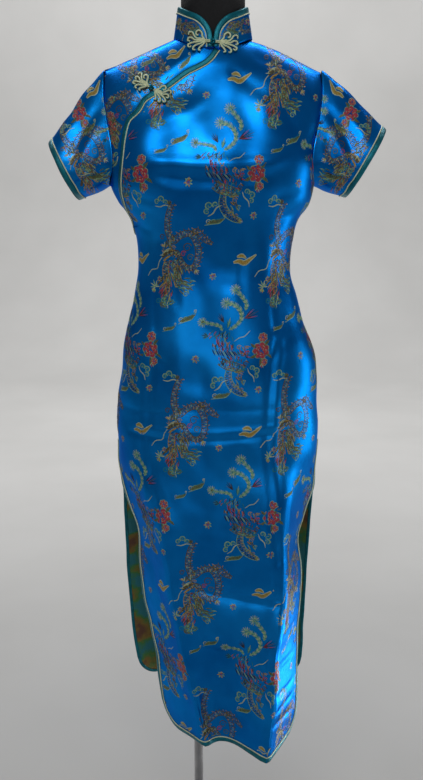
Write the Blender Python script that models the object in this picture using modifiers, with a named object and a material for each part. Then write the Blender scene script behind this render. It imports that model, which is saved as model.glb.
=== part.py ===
"""Cheongsam dress worn by a limbless dress form on a pole stand.

Metres, +Z up. The front of the dress faces -Y, so the wearer's right side is -X.
The origin is the middle of the foot's underside, on the floor, with the pole above it.
Every piece of cloth is a thin wall lofted through rows of points that are worked out
from the tables below: rings of the body, the sleeve loops and the folds of the skirt.
"""

import math
from collections import namedtuple

import bmesh
import bpy
from mathutils import Vector
from mathutils.bvhtree import BVHTree
from mathutils.geometry import intersect_point_line

# ---------------------------------------------------------------- driving dimensions

DRESS_SHIFT = 0.028         # the dress and the form stand this far to +X of the pole
DRESS_RISE = 0.100          # and their own zero height, as in the tables, is this far above the floor
FABRIC = 0.0014             # thickness of the brocade with its backing
SEAM_GAP = 0.0003           # gap between two pieces sewn together
LIFT = 0.0009               # clearance of a trim over the panel it lies on

BINDING_WIDTH = 0.0075      # satin binding on every free edge
BINDING_THICK = 0.0008
PIPING_RADIUS = 0.0011      # piping along the inner side of the binding

SQUARENESS = 2.4            # exponent of the body's rounded sections
UNDERARM = 1.207            # height of the underarm point
BODICE_FOOT = 1.135         # height where the slanted opening reaches the side seam
SHOULDER_TIP = (0.181, 1.396)
NECK_SIDE = (0.0655, 1.445)
NECK_FRONT = 1.423
NECK_BACK = 1.443
SHOULDER_ROLL = 0.070       # depth over which the shoulder rounds off
NECK_SOFT = 0.020           # how widely the two shoulder lines round into each other

SLIT_TOP = 0.757            # height where the side seams end
HEM = 0.212
CORNER = 0.045              # radius of the hem's rounded corners
FOLD_FULL = 0.650           # below this height the skirt hangs in its own folds

COLLAR_HEIGHT = 0.049
COLLAR_FRONT = 0.014        # height of the collar where its two ends meet
COLLAR_ROUND = 0.035        # length of the rounded front corner
COLLAR_LEAN_X = 0.885       # the collar's top is this share of its base, side to side
COLLAR_LEAN_Y = 0.920       # and front to back
COLLAR_SPLIT = 0.0014       # half the gap between the collar's two ends
COLLAR_TRIM_SHORT = 0.0014  # the collar's trim starts this far above its base
SLEEVE_CROWN = 0.003        # how much a sleeve rounds up between armhole and cuff

FLAP_UNDERLAP = 0.009       # how far the under flap runs on below the opening's edge
FLAP_DROP = FABRIC + 0.0020 # how deep it lies there, under the front
FLAP_LEVEL = 0.003          # it stays that deep this far above the edge
FLAP_RISE = 0.020           # and comes up to the dress's surface over this length

CORD_RADIUS = 0.0012        # cord of the frog fastenings
KNOT_RADIUS = 0.0040
FROG_CLEAR = 0.0034         # the cords pass this far above the cloth, clear of the piping
FLOWER_LOBES = 4
FLOWER_WAIST = 0.42         # narrowest part of a flower as a share of its size

FORM_FOOT = 0.768           # height of the form's flat underside
NECK_RADIUS = 0.053
NECK_TOP = 1.528
CAP_HEIGHT = 0.007
FORM_EASE = 0.0085          # the form is this much slimmer than the dress
FORM_SHOULDER_EASE = 0.0056
FORM_END = 8.0              # how square the form is at its armhole plates
NECK_START = 1.427          # between these heights the form's shoulders turn into its neck
NECK_FULL = 1.452
NECK_CENTRE = 0.001         # the neck's middle lies this far behind the middle plane

POLE_RADIUS = 0.0085
BASE_RADIUS = 0.165
BASE_EDGE = 0.008
HUB_RADIUS = 0.019
HUB_TOP = 0.052
SOCKET_FLOOR = 0.006
SOCKET_FIT = 0.0003
PLATE_RADIUS = 0.055
PLATE_THICK = 0.008
PLATE_HUB_DROP = 0.032

# ---------------------------------------------------------------- how finely things are laid out

ARM_STEPS = 12              # rows of points from the underarm to the shoulder tip
SEAM_STEPS = 3              # rows between the bodice's foot and the underarm
HALF_SHARES_FRONT = (0.13, 0.26, 0.36, 0.42, 0.48, 0.60, 0.74, 0.88, 0.95, 0.982, 1.0)
HALF_SHARES_BACK = (0.18, 0.34, 0.44, 0.60, 0.78, 0.91, 0.955, 0.985, 1.0)
FRONT_HEIGHTS = (0.30, 0.38, 0.46, 0.53, 0.58, 0.62, 0.65, 0.68, 0.705, 0.73)
BACK_HEIGHTS = (0.31, 0.41, 0.50, 0.58, 0.63, 0.655, 0.675, 0.695, 0.715, 0.738)
BODY_HEIGHTS = (0.80, 0.85, 0.90, 0.95, 1.00, 1.05, 1.10)
SLEEVE_SHARES = (0.0, 0.14, 0.38, 0.64, 0.86, 0.94, 1.0)
COLLAR_ROWS = 3
COLLAR_ANGLES = (90, 86.5, 83, 79, 74, 68, 61, 51, 41, 31, 21, 10, 0)
PIPING_SIDES = 4
FLAP_MATCHED = 8            # rows of the armhole that run level across the flap
FLAP_FALL = 0.85            # how far they fall towards the opening
FLAP_STEPS = (0.0, 0.009, 0.0135, 0.022, 0.032)     # columns near the flap's lower edge, but
FLAP_SHARES = (0.0, 0.30, 0.42, 0.55, 0.68)         # no further than these shares across it
FLAP_REST = (0.40, 0.76, 1.0)                       # shares of the rest, up to the other edge
FLOWER_POINTS = 24
FORM_SIDE_STEPS = 14
FORM_HEIGHTS = (
    0.768, 0.830, 0.890, 0.950, 1.010, 1.061, 1.105, 1.150, 1.190, 1.220, 1.250, 1.290, 1.330,
    1.365, 1.390, 1.405, 1.417, 1.427, 1.435, 1.442, 1.450, 1.462, 1.528,
)
ON_SEAM = 2e-5              # share within which a point counts as lying on a seam
SLOPE_STEP = 0.0002         # step over which the body's slope is measured
SLANT_LOW = 0.70            # below this slant a trim runs square to its edge
SLANT_HIGH = 0.95           # and above this one along the cloth's own rows or columns

# ---------------------------------------------------------------- tables

# "minus" and "plus" are the sides towards -X (the wearer's right) and +X (the wearer's left).
Ring = namedtuple("Ring", "height minus plus front back")
BODY = (
    Ring(0.600, 0.172, 0.189, 0.116, 0.126),
    Ring(0.757, 0.170, 0.189, 0.114, 0.124),
    Ring(0.828, 0.171, 0.186, 0.113, 0.125),
    Ring(0.905, 0.163, 0.181, 0.110, 0.118),
    Ring(0.944, 0.157, 0.171, 0.108, 0.110),
    Ring(0.980, 0.147, 0.157, 0.103, 0.102),
    Ring(1.024, 0.135, 0.146, 0.096, 0.092),
    Ring(1.061, 0.130, 0.134, 0.092, 0.086),
    Ring(1.108, 0.130, 0.137, 0.096, 0.087),
    Ring(1.150, 0.141, 0.145, 0.106, 0.091),
    Ring(1.180, 0.161, 0.160, 0.118, 0.095),
    Ring(1.207, 0.174, 0.168, 0.129, 0.098),
    Ring(1.240, 0.180, 0.176, 0.134, 0.100),
    Ring(1.270, 0.182, 0.180, 0.128, 0.102),
    Ring(1.300, 0.184, 0.183, 0.115, 0.103),
    Ring(1.350, 0.186, 0.186, 0.091, 0.098),
    Ring(1.396, 0.186, 0.186, 0.070, 0.089),
    Ring(1.430, 0.186, 0.186, 0.061, 0.088),
    Ring(1.480, 0.186, 0.186, 0.055, 0.086),
)

Armhole = namedtuple("Armhole", "height minus plus")
ARMHOLES = (
    Armhole(1.207, 0.174, 0.168),
    Armhole(1.230, 0.166, 0.163),
    Armhole(1.270, 0.166, 0.165),
    Armhole(1.310, 0.173, 0.173),
    Armhole(1.350, 0.180, 0.179),
    Armhole(1.396, 0.181, 0.181),
)

# The edge of the slanted opening, from the right side seam up to the front of the neck.
# "share" is the place across the body: -1 is the right side seam and 0 the middle.
Opening = namedtuple("Opening", "height share")
OPENING = (
    Opening(1.1350, -1.000),
    Opening(1.1410, -0.996),
    Opening(1.1500, -0.984),
    Opening(1.1650, -0.964),
    Opening(1.1850, -0.930),
    Opening(1.2150, -0.876),
    Opening(1.2500, -0.832),
    Opening(1.2850, -0.800),
    Opening(1.3120, -0.753),
    Opening(1.3280, -0.659),
    Opening(1.3440, -0.592),
    Opening(1.3600, -0.441),
    Opening(1.3880, -0.237),
    Opening(1.4040, -0.065),
    Opening(1.4231, 0.018),
)
OPENING_NECK_ANGLE = 87.0   # degrees round the neck, from its left side, where the opening starts

# How the free lower front hangs: two lengthwise ridges with a shallow trough between.
Fold = namedtuple(
    "Fold",
    "height edge_m_x edge_m_y ridge_m_x ridge_m_y mid_x mid_y ridge_p_x ridge_p_y edge_p_x edge_p_y",
)
FRONT_FOLDS = (
    Fold(0.200, -0.086, -0.030, -0.010, -0.123, 0.032, -0.100, 0.094, -0.181, 0.157, -0.045),
    Fold(0.300, -0.101, -0.028, -0.030, -0.124, 0.026, -0.108, 0.106, -0.168, 0.158, -0.043),
    Fold(0.400, -0.116, -0.024, -0.055, -0.124, 0.020, -0.114, 0.112, -0.153, 0.158, -0.037),
    Fold(0.500, -0.132, -0.020, -0.072, -0.122, 0.014, -0.118, 0.122, -0.136, 0.163, -0.026),
    Fold(0.580, -0.138, -0.015, -0.085, -0.120, 0.012, -0.120, 0.125, -0.126, 0.159, -0.018),
    Fold(0.630, -0.154, -0.010, -0.089, -0.117, 0.010, -0.120, 0.125, -0.120, 0.171, -0.012),
    Fold(0.680, -0.167, -0.005, -0.092, -0.114, 0.010, -0.119, 0.124, -0.116, 0.185, -0.006),
    Fold(0.760, -0.170, 0.000, -0.096, -0.108, 0.010, -0.116, 0.124, -0.109, 0.189, 0.000),
)
BACK_FOLDS = (
    Fold(0.200, -0.148, 0.130, -0.095, 0.172, 0.010, 0.140, 0.118, 0.174, 0.180, 0.130),
    Fold(0.300, -0.163, 0.130, -0.098, 0.168, 0.010, 0.142, 0.118, 0.170, 0.185, 0.130),
    Fold(0.400, -0.170, 0.124, -0.100, 0.160, 0.010, 0.142, 0.120, 0.162, 0.187, 0.124),
    Fold(0.500, -0.173, 0.110, -0.102, 0.150, 0.010, 0.140, 0.120, 0.152, 0.189, 0.110),
    Fold(0.600, -0.173, 0.082, -0.104, 0.138, 0.010, 0.134, 0.120, 0.140, 0.190, 0.082),
    Fold(0.700, -0.171, 0.038, -0.106, 0.124, 0.010, 0.128, 0.120, 0.126, 0.190, 0.038),
    Fold(0.760, -0.170, 0.000, -0.106, 0.114, 0.010, 0.124, 0.120, 0.114, 0.189, 0.000),
)
RIDGE_SHARE = 0.42          # share of a panel's half width that lies inside its ridge

# The cuffs: highest and lowest points of the opening seen from the front.
Cuff = namedtuple("Cuff", "top_x top_z foot_x foot_z front_reach back_reach back_out")
CUFF_RIGHT_ARM = Cuff(-0.277, 1.281, -0.228, 1.186, 0.056, 0.056, 0.016)
CUFF_LEFT_ARM = Cuff(0.2915, 1.3025, 0.226, 1.190, 0.056, 0.056, 0.014)

FormRing = namedtuple("FormRing", "height width")
FORM = (
    FormRing(0.768, 0.154),
    FormRing(0.830, 0.158),
    FormRing(0.905, 0.151),
    FormRing(0.980, 0.134),
    FormRing(1.061, 0.117),
    FormRing(1.150, 0.126),
    FormRing(1.207, 0.139),
    FormRing(1.270, 0.146),
    FormRing(1.340, 0.152),
    FormRing(1.380, 0.154),
)

Finish = namedtuple("Finish", "colour roughness metallic")
BROCADE = Finish((0.004, 0.115, 0.420), 0.30, 0.0)
TEAL = Finish((0.010, 0.180, 0.260), 0.35, 0.0)
CREAM = Finish((0.700, 0.740, 0.330), 0.45, 0.0)
JERSEY = Finish((0.008, 0.009, 0.010), 0.85, 0.0)
STEEL = Finish((0.420, 0.420, 0.430), 0.30, 1.0)
PAINT = Finish((0.030, 0.030, 0.032), 0.50, 0.0)


# ---------------------------------------------------------------- small helpers

def smooth(share):
    """Ease from 0 to 1 with no kink at either end."""
    share = min(max(share, 0.0), 1.0)
    return share * share * (3.0 - 2.0 * share)


def at_height(rows, height):
    """Read a table at any height along a smooth curve through its rows."""
    height = min(max(height, rows[0].height), rows[-1].height)
    index = 0
    while index < len(rows) - 2 and height > rows[index + 1].height:
        index += 1
    before = rows[max(index - 1, 0)]
    low = rows[index]
    high = rows[index + 1]
    after = rows[min(index + 2, len(rows) - 1)]
    step = high.height - low.height
    share = (height - low.height) / step
    values = []
    for p, a, b, q in zip(before, low, high, after):
        slope_a = (b - p) / max(high.height - before.height, step) * step
        slope_b = (q - a) / max(after.height - low.height, step) * step
        square = share * share
        cube = square * share
        values.append(
            (2 * cube - 3 * square + 1) * a + (cube - 2 * square + share) * slope_a
            + (3 * square - 2 * cube) * b + (cube - square) * slope_b
        )
    return type(low)(*values)


def along(points, share):
    """Point at a share of the length of a chain of points."""
    lengths = [(b - a).length for a, b in zip(points, points[1:])]
    target = min(max(share, 0.0), 1.0) * sum(lengths)
    for start, end, length in zip(points, points[1:], lengths):
        if target <= length:
            return start.lerp(end, target / max(length, 1e-9))
        target -= length
    return points[-1].copy()


def spread(count, start=0.0, end=1.0):
    """Evenly spaced numbers, both ends included."""
    return [start + (end - start) * k / (count - 1) for k in range(count)]


# ---------------------------------------------------------------- the body of the dress

def shoulder_line(across):
    """Height of the shoulder seam above a place across the body, rounded over the neck."""
    neck = math.hypot(NECK_SIDE[0], NECK_SOFT)
    tip = math.hypot(SHOULDER_TIP[0], NECK_SOFT)
    slope = (NECK_SIDE[1] - SHOULDER_TIP[1]) / (tip - neck)
    return NECK_SIDE[1] - (math.hypot(across, NECK_SOFT) - neck) * slope


def body_depth(across, height, side):
    """How far the dress stands off the middle plane: side -1 is the front, +1 the back."""
    ring = at_height(BODY, height)
    width = ring.minus if across < 0 else ring.plus
    share = min(abs(across) / width, 1.0)
    reach = ring.front if side < 0 else ring.back
    depth = reach * (1.0 - share ** SQUARENESS) ** (1.0 / SQUARENESS)
    below_seam = min((shoulder_line(across) - height) / SHOULDER_ROLL, 1.0)
    if below_seam < ON_SEAM or share > 1.0 - ON_SEAM:
        return 0.0
    return depth * math.sqrt(below_seam * (2.0 - below_seam))


def body_normal(across, height, side):
    """Outward unit normal of the body's surface, sound on the seams too."""

    def squared(x, z):
        depth = body_depth(x, z, side)
        return depth * depth

    # The gradient of the squared depth stays finite where the depth itself is zero.
    by_x = squared(across + SLOPE_STEP, height) - squared(across - SLOPE_STEP, height)
    by_z = squared(across, height + SLOPE_STEP) - squared(across, height - SLOPE_STEP)
    reach = side * body_depth(across, height, side)
    return Vector((-by_x / (4 * SLOPE_STEP), reach, -by_z / (4 * SLOPE_STEP))).normalized()


def on_body(across, height, side):
    """Point of the dress's outer surface above the side seams' foot."""
    return Vector((across, side * body_depth(across, height, side), height))


def ring_point(share, height, side):
    """Point of a body ring: share -1 is the right side seam and +1 the left one."""
    ring = at_height(BODY, height)
    width = ring.minus if share < 0 else ring.plus
    reach = ring.front if side < 0 else ring.back
    angle = abs(share) * math.pi / 2
    across = math.copysign(width * math.sin(angle) ** (2 / SQUARENESS), share)
    depth = reach * max(math.cos(angle), 0.0) ** (2 / SQUARENESS)
    return Vector((across, side * depth, height))


def fold_point(share, height, side):
    """Point of the free skirt: facet, ridge, shallow trough, ridge, facet."""
    fold = at_height(FRONT_FOLDS if side < 0 else BACK_FOLDS, height)
    edge_m = Vector((fold.edge_m_x, fold.edge_m_y, height))
    ridge_m = Vector((fold.ridge_m_x, fold.ridge_m_y, height))
    middle = Vector((fold.mid_x, fold.mid_y, height))
    ridge_p = Vector((fold.ridge_p_x, fold.ridge_p_y, height))
    edge_p = Vector((fold.edge_p_x, fold.edge_p_y, height))

    def raw(place):
        if place < -RIDGE_SHARE:
            return edge_m.lerp(ridge_m, (place + 1.0) / (1.0 - RIDGE_SHARE))
        if place > RIDGE_SHARE:
            return edge_p.lerp(ridge_p, (1.0 - place) / (1.0 - RIDGE_SHARE))
        part = place / RIDGE_SHARE
        bend = 0.5 * part * (part - 1.0) * ridge_m + (1.0 - part * part) * middle
        return bend + 0.5 * part * (part + 1.0) * ridge_p

    blur = min(0.07, 1.0 - abs(share))
    return (raw(share - blur) + 2.0 * raw(share) + raw(share + blur)) / 4.0


def skirt_point(share, height, side):
    """Point of a panel below the bodice, blending the fitted body into the hanging folds."""
    fitted = ring_point(share, height, side)
    if height >= SLIT_TOP:
        return fitted
    hanging = fold_point(share, height, side)
    return fitted.lerp(hanging, smooth((SLIT_TOP - height) / (SLIT_TOP - FOLD_FULL)))


def hem_height(share, side):
    """Height of the hem, rounded up at both corners."""
    edge = skirt_point(math.copysign(1.0, share), HEM, side)
    inset = (skirt_point(share, HEM, side) - edge).length
    rest = max(CORNER - inset, 0.0)
    return HEM + CORNER - math.sqrt(CORNER * CORNER - rest * rest)


# ---------------------------------------------------------------- walls of cloth

def outward(grid, row, column, side, around=False):
    """Unit normal of a grid of points, whose columns run to +X where the side is the front."""
    rows = len(grid)
    columns = len(grid[0])
    up = grid[min(row + 1, rows - 1)][column] - grid[max(row - 1, 0)][column]
    if around:
        right = grid[row][(column + 1) % columns] - grid[row][column - 1]
    else:
        right = grid[row][min(column + 1, columns - 1)] - grid[row][max(column - 1, 0)]
    return right.cross(up).normalized() * -side


class Sheet:
    """A grid of points on the outer face of a piece of cloth, with its normals.

    Rows from 'fitted_from' on lie on the body's surface and take its own normals.
    """

    def __init__(self, grid, side, around=False, fitted_from=None, sunk=None):
        self.around = around
        self.points = [[p.copy() for p in line] for line in grid]
        self.normals = []
        for j, line in enumerate(grid):
            if fitted_from is not None and j >= fitted_from:
                self.normals.append([body_normal(p.x, p.z, side) for p in line])
            else:
                self.normals.append([outward(grid, j, i, side, around) for i in range(len(line))])
        if fitted_from is not None:
            for point in (p for line in self.points for p in line if abs(p.y) < ON_SEAM):
                point.y = side * 0.5 * SEAM_GAP
        if sunk:
            for points, normals, drops in zip(self.points, self.normals, sunk):
                for i, drop in enumerate(drops):
                    points[i] -= normals[i] * drop

    def wall(self, name, finish):
        """Make the cloth's wall, from the outer face inwards."""
        inner = []
        for points, normals in zip(self.points, self.normals):
            inner.append([p - n * FABRIC for p, n in zip(points, normals)])
        return loft_wall(name, self.points, inner, finish, self.around)

    def edge_frames(self, cells, inward_cells, reach, follow):
        """Frames along an edge: the point, the direction into the cloth and the normal.

        The direction runs square to the edge, or along the cloth's own rows or columns where
        these are nearly square to it or 'follow' is set.
        """
        columns = len(self.points[0])
        faces = []
        for j in range(len(self.points) - 1):
            for i in range(columns if self.around else columns - 1):
                low = j * columns
                k = (i + 1) % columns
                faces.append((low + i, low + k, low + columns + k, low + columns + i))
        surface = BVHTree.FromPolygons([p for line in self.points for p in line], faces)
        frames = []
        for step, ((j, i), (k, m)) in enumerate(zip(cells, inward_cells)):
            point = self.points[j][i]
            normal = self.normals[j][i]
            if self.around:
                before, after = cells[step - 1], cells[(step + 1) % len(cells)]
            else:
                before, after = cells[max(step - 1, 0)], cells[min(step + 1, len(cells) - 1)]
            run = (self.points[after[0]][after[1]] - self.points[before[0]][before[1]]).normalized()
            grid_way = self.points[k][m] - point
            grid_way = (grid_way - normal * grid_way.dot(normal)).normalized()
            square_way = (grid_way - run * grid_way.dot(run)).normalized()
            slant = grid_way.dot(square_way)
            share = 1.0 if follow else smooth((slant - SLANT_LOW) / (SLANT_HIGH - SLANT_LOW))
            way = square_way.lerp(grid_way / max(slant, SLANT_LOW), share)
            target = surface.find_nearest(point + way * reach)[0]
            frames.append((point, (target - point) / reach, normal))
        return frames


def loft_wall(name, outer, inner, finish, around):
    """Closed wall between two grids of points; 'around' joins the last column to the first."""
    rows = len(outer)
    columns = len(outer[0])
    mesh = bmesh.new()
    out = [[mesh.verts.new(p) for p in line] for line in outer]
    ins = [[mesh.verts.new(p) for p in line] for line in inner]
    last = columns if around else columns - 1
    for i in range(last):
        k = (i + 1) % columns
        for j in range(rows - 1):
            mesh.faces.new((out[j][i], out[j][k], out[j + 1][k], out[j + 1][i]))
            mesh.faces.new((ins[j][i], ins[j + 1][i], ins[j + 1][k], ins[j][k]))
        mesh.faces.new((out[0][i], ins[0][i], ins[0][k], out[0][k]))
        mesh.faces.new((out[-1][i], out[-1][k], ins[-1][k], ins[-1][i]))
    if not around:
        for j in range(rows - 1):
            mesh.faces.new((out[j][0], out[j + 1][0], ins[j + 1][0], ins[j][0]))
            mesh.faces.new((out[j][-1], ins[j][-1], ins[j + 1][-1], out[j + 1][-1]))
    return finish_mesh(name, mesh, finish)


def finish_mesh(name, mesh, finish):
    """Turn the faces outward, shade the rounded ones smooth and make the object."""
    bmesh.ops.recalc_face_normals(mesh, faces=mesh.faces)
    data = bpy.data.meshes.new(name)
    mesh.to_mesh(data)
    mesh.free()
    data.shade_smooth()
    data.set_sharp_from_angle(angle=math.radians(50))
    return place(name, data, finish, True)


def place(name, data, finish, on_dress):
    """Link a piece to the collection, with its own material."""
    piece = bpy.data.objects.new(name, data)
    if on_dress:
        piece.location = (DRESS_SHIFT, 0.0, DRESS_RISE)
    data.materials.append(material(name, finish))
    collection.objects.link(piece)
    return piece


def material(name, finish):
    """Principled material of one piece."""
    made = bpy.data.materials.new(name)
    made.use_nodes = True
    shader = made.node_tree.nodes["Principled BSDF"]
    shader.inputs["Base Color"].default_value = (*finish.colour, 1.0)
    shader.inputs["Roughness"].default_value = finish.roughness
    shader.inputs["Metallic"].default_value = finish.metallic
    return made


def web(foot, head, minus, plus, columns):
    """Fill between four chains of points in the front plane; rows follow the two side chains."""
    rows = len(minus)
    grid = []
    for j in range(rows):
        line = []
        v = j / (rows - 1)
        for i, share in enumerate(columns):
            u = (share + 1.0) / 2
            point = (1 - u) * minus[j] + u * plus[j] + (1 - v) * foot[i] + v * head[i]
            point -= (1 - u) * (1 - v) * foot[0] + u * (1 - v) * foot[-1]
            point -= (1 - u) * v * head[0] + u * v * head[-1]
            line.append(point)
        grid.append(line)
    return grid


# ---------------------------------------------------------------- chains of the bodice's pattern

def flat(across, height):
    """Point of the pattern seen from the front."""
    return Vector((across, 0.0, height))


def neck_point(degrees, sign, side):
    """Point of the neckline: 0 degrees at the shoulder seam, 90 at the middle."""
    angle = math.radians(degrees)
    dip = (NECK_FRONT if side < 0 else NECK_BACK) - NECK_SIDE[1]
    return flat(sign * NECK_SIDE[0] * math.cos(angle), NECK_SIDE[1] + dip * math.sin(angle) ** 2)


def side_chain(sign):
    """Side seam from the bodice's foot to the underarm, then the armhole up to the shoulder."""
    chain = []
    for height in spread(SEAM_STEPS + 1, BODICE_FOOT, UNDERARM)[:-1]:
        ring = at_height(BODY, height)
        chain.append(flat(-ring.minus if sign < 0 else ring.plus, height))
    middle = (UNDERARM + SHOULDER_TIP[1]) / 2
    half = (SHOULDER_TIP[1] - UNDERARM) / 2
    for step in range(ARM_STEPS + 1):
        height = middle - half * math.cos(math.pi * step / ARM_STEPS)
        row = at_height(ARMHOLES, height)
        chain.append(flat(-row.minus if sign < 0 else row.plus, height))
    return chain


def shoulder_chain(sign, steps):
    """Shoulder seam from the side of the neck out to the tip."""
    places = spread(steps + 1, NECK_SIDE[0], SHOULDER_TIP[0])
    return [flat(sign * across, shoulder_line(across)) for across in places]


def neck_chain(sign, side, steps, first=0.0, last=90.0):
    """Neckline from the shoulder seam towards the middle."""
    return [neck_point(degrees, sign, side) for degrees in spread(steps + 1, first, last)]


def opening_point(height):
    """Point of the slanted opening's edge."""
    return flat(at_height(OPENING, height).share * at_height(BODY, height).minus, height)


def opening_chain(count, start=BODICE_FOOT):
    """Edge of the slanted opening from a height up to the neck, in even steps."""
    pattern = [opening_point(height) for height in spread(121, start, OPENING[-1].height)]
    laid = [on_body(p.x, p.z, -1) for p in pattern]
    chain = [along(laid, share) for share in spread(count)]
    chain[-1] = neck_point(OPENING_NECK_ANGLE, 1, -1)
    return [flat(p.x, p.z) for p in chain]


def distance_to(chain, point):
    """Shortest distance from a point to a chain of points."""
    best = (chain[0] - point).length
    for start, end in zip(chain, chain[1:]):
        share = intersect_point_line(point, start, end)[1]
        best = min(best, (start.lerp(end, min(max(share, 0.0), 1.0)) - point).length)
    return best


def pin_to_body(grid, side):
    """Lay a flat pattern grid on the body's surface."""
    return [[on_body(p.x, p.z, side) for p in line] for line in grid]


# ---------------------------------------------------------------- panels

def shares(half):
    """Columns of a panel, the same on both sides of the middle."""
    return [-share for share in reversed(half)] + [0.0] + list(half)


def skirt_rows(columns, free_heights, side):
    """Rows from the hem to just under the bodice; the hem's corners are rounded."""
    rows = []
    hem = [hem_height(share, side) for share in columns]
    corner_top = HEM + CORNER
    rows.append([skirt_point(share, low, side) for share, low in zip(columns, hem)])
    for height in (corner_top, *free_heights, SLIT_TOP, *BODY_HEIGHTS):
        row = []
        for share, low in zip(columns, hem):
            lifted = max(height, low + 0.004) if height == corner_top else height
            row.append(skirt_point(share, lifted, side))
        rows.append(row)
    return rows


def front_sheet():
    """The long front: skirt, fitted body, and the bodice up to neck, shoulder and opening."""
    columns = shares(HALF_SHARES_FRONT)
    rows = skirt_rows(columns, FRONT_HEIGHTS, -1)
    foot = [flat(ring_point(share, BODICE_FOOT, -1).x, BODICE_FOOT) for share in columns]
    neck = len(columns) // 2
    head = list(reversed(neck_chain(1, -1, neck, 0.0, OPENING_NECK_ANGLE)))
    head += shoulder_chain(1, len(columns) - 1 - neck)[1:]
    plus = side_chain(1)
    bodice = pin_to_body(web(foot, head, opening_chain(len(plus)), plus, columns), -1)
    return Sheet(rows + bodice, -1, fitted_from=len(FRONT_HEIGHTS) + 2)


def back_sheet():
    """The long back, with both armholes and the back of the neck."""
    columns = shares(HALF_SHARES_BACK)
    rows = skirt_rows(columns, BACK_HEIGHTS, 1)
    foot = [flat(ring_point(share, BODICE_FOOT, 1).x, BODICE_FOOT) for share in columns]
    neck = 4
    shoulder = len(columns) // 2 - neck
    half = list(reversed(neck_chain(1, 1, neck))) + shoulder_chain(1, shoulder)[1:]
    head = [flat(-p.x, p.z) for p in reversed(half)][:-1] + half
    bodice = pin_to_body(web(foot, head, side_chain(-1), side_chain(1), columns), 1)
    return Sheet(rows + bodice, 1, fitted_from=len(BACK_HEIGHTS) + 2)


def flap_sheet():
    """The under flap: from the right armhole, shoulder and neck to just under the opening."""
    outer = side_chain(-1)
    outer[0] = outer[0].lerp(outer[1], 0.3)
    outer += list(reversed(shoulder_chain(-1, 5)))[1:]
    outer += neck_chain(-1, -1, 7, 0.0, 88.0)[1:]
    matched = SEAM_STEPS + FLAP_MATCHED
    levels = [BODICE_FOOT + (p.z - BODICE_FOOT) * FLAP_FALL for p in outer[:matched + 1]]
    edge = [opening_point(height) for height in levels[:-1]]
    edge += opening_chain(len(outer) - matched, levels[-1])
    laid_edge = [on_body(p.x, p.z, -1) for p in edge]
    grid = []
    sunk = []
    for step, start in enumerate(outer):
        ahead = edge[min(step + 1, len(edge) - 1)]
        behind = edge[max(step - 1, 0)]
        run = (ahead - behind).normalized()
        end = edge[step] + Vector((run.z, 0.0, -run.x)) * FLAP_UNDERLAP
        if step == 0:
            end = flat(start.x + FLAP_UNDERLAP, start.z)
        if step == len(outer) - 1:
            end = neck_point(72.0, 1, -1)
        length = (end - start).length
        near = [min(distance, length * share) for distance, share in zip(FLAP_STEPS, FLAP_SHARES)]
        back_off = near + [near[-1] + (length - near[-1]) * share for share in FLAP_REST]
        back_off.reverse()
        grid.append([end.lerp(start, distance / length) for distance in back_off])
        tucked = 1.0 - smooth((start.z - BODICE_FOOT - 0.010) / 0.035)
        drops = []
        for distance, place in zip(back_off, grid[-1]):
            above = 0.0
            if distance > FLAP_UNDERLAP:
                above = distance_to(laid_edge, on_body(place.x, place.z, -1)) - FLAP_LEVEL
            drops.append(FLAP_DROP * max(tucked, 1.0 - smooth(above / FLAP_RISE)))
        sunk.append(drops)
    return Sheet(pin_to_body(grid, -1), -1, fitted_from=0, sunk=sunk)


def sleeve_sheet(sign):
    """A cap sleeve, lofted from the armhole to its open cuff."""
    arm = side_chain(sign)[SEAM_STEPS:]
    front = [on_body(p.x, p.z, -1) for p in arm]
    back = [on_body(p.x, p.z, 1) for p in reversed(arm[1:-1])]
    loop = front + back
    cuff = CUFF_RIGHT_ARM if sign < 0 else CUFF_LEFT_ARM
    top = Vector((cuff.top_x, 0.0, cuff.top_z))
    foot = Vector((cuff.foot_x, 0.0, cuff.foot_z))
    centre = (top + foot) / 2
    half = (top - foot) / 2
    away = Vector((half.z, 0.0, -half.x)).normalized() * sign
    grid = []
    for share in SLEEVE_SHARES:
        ring = []
        for step, start in enumerate(loop):
            angle = math.pi * step / ARM_STEPS
            reach = cuff.front_reach if step <= ARM_STEPS else cuff.back_reach
            end = centre - half * math.cos(angle) - Vector((0.0, reach * math.sin(angle), 0.0))
            end += away * cuff.back_out * max(-math.sin(angle), 0.0)
            point = start.lerp(end, share)
            crown = SLEEVE_CROWN * 4.0 * share * (1.0 - share) * smooth(-math.cos(angle))
            ring.append(point + away * SEAM_GAP * (1.0 - share) * 1.5 + Vector((0.0, 0.0, crown)))
        grid.append(ring)
    sheet = Sheet(grid, sign, around=True)
    sheet.normals[0] = [(n - away * n.dot(away)).normalized() for n in sheet.normals[0]]
    return sheet


# ---------------------------------------------------------------- collar

def collar_height(run):
    """Height of the collar at a distance along its base from the middle front."""
    left = 1.0 - min(run / COLLAR_ROUND, 1.0)
    return COLLAR_FRONT + (COLLAR_HEIGHT - COLLAR_FRONT) * math.sqrt(1.0 - left * left)


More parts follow.
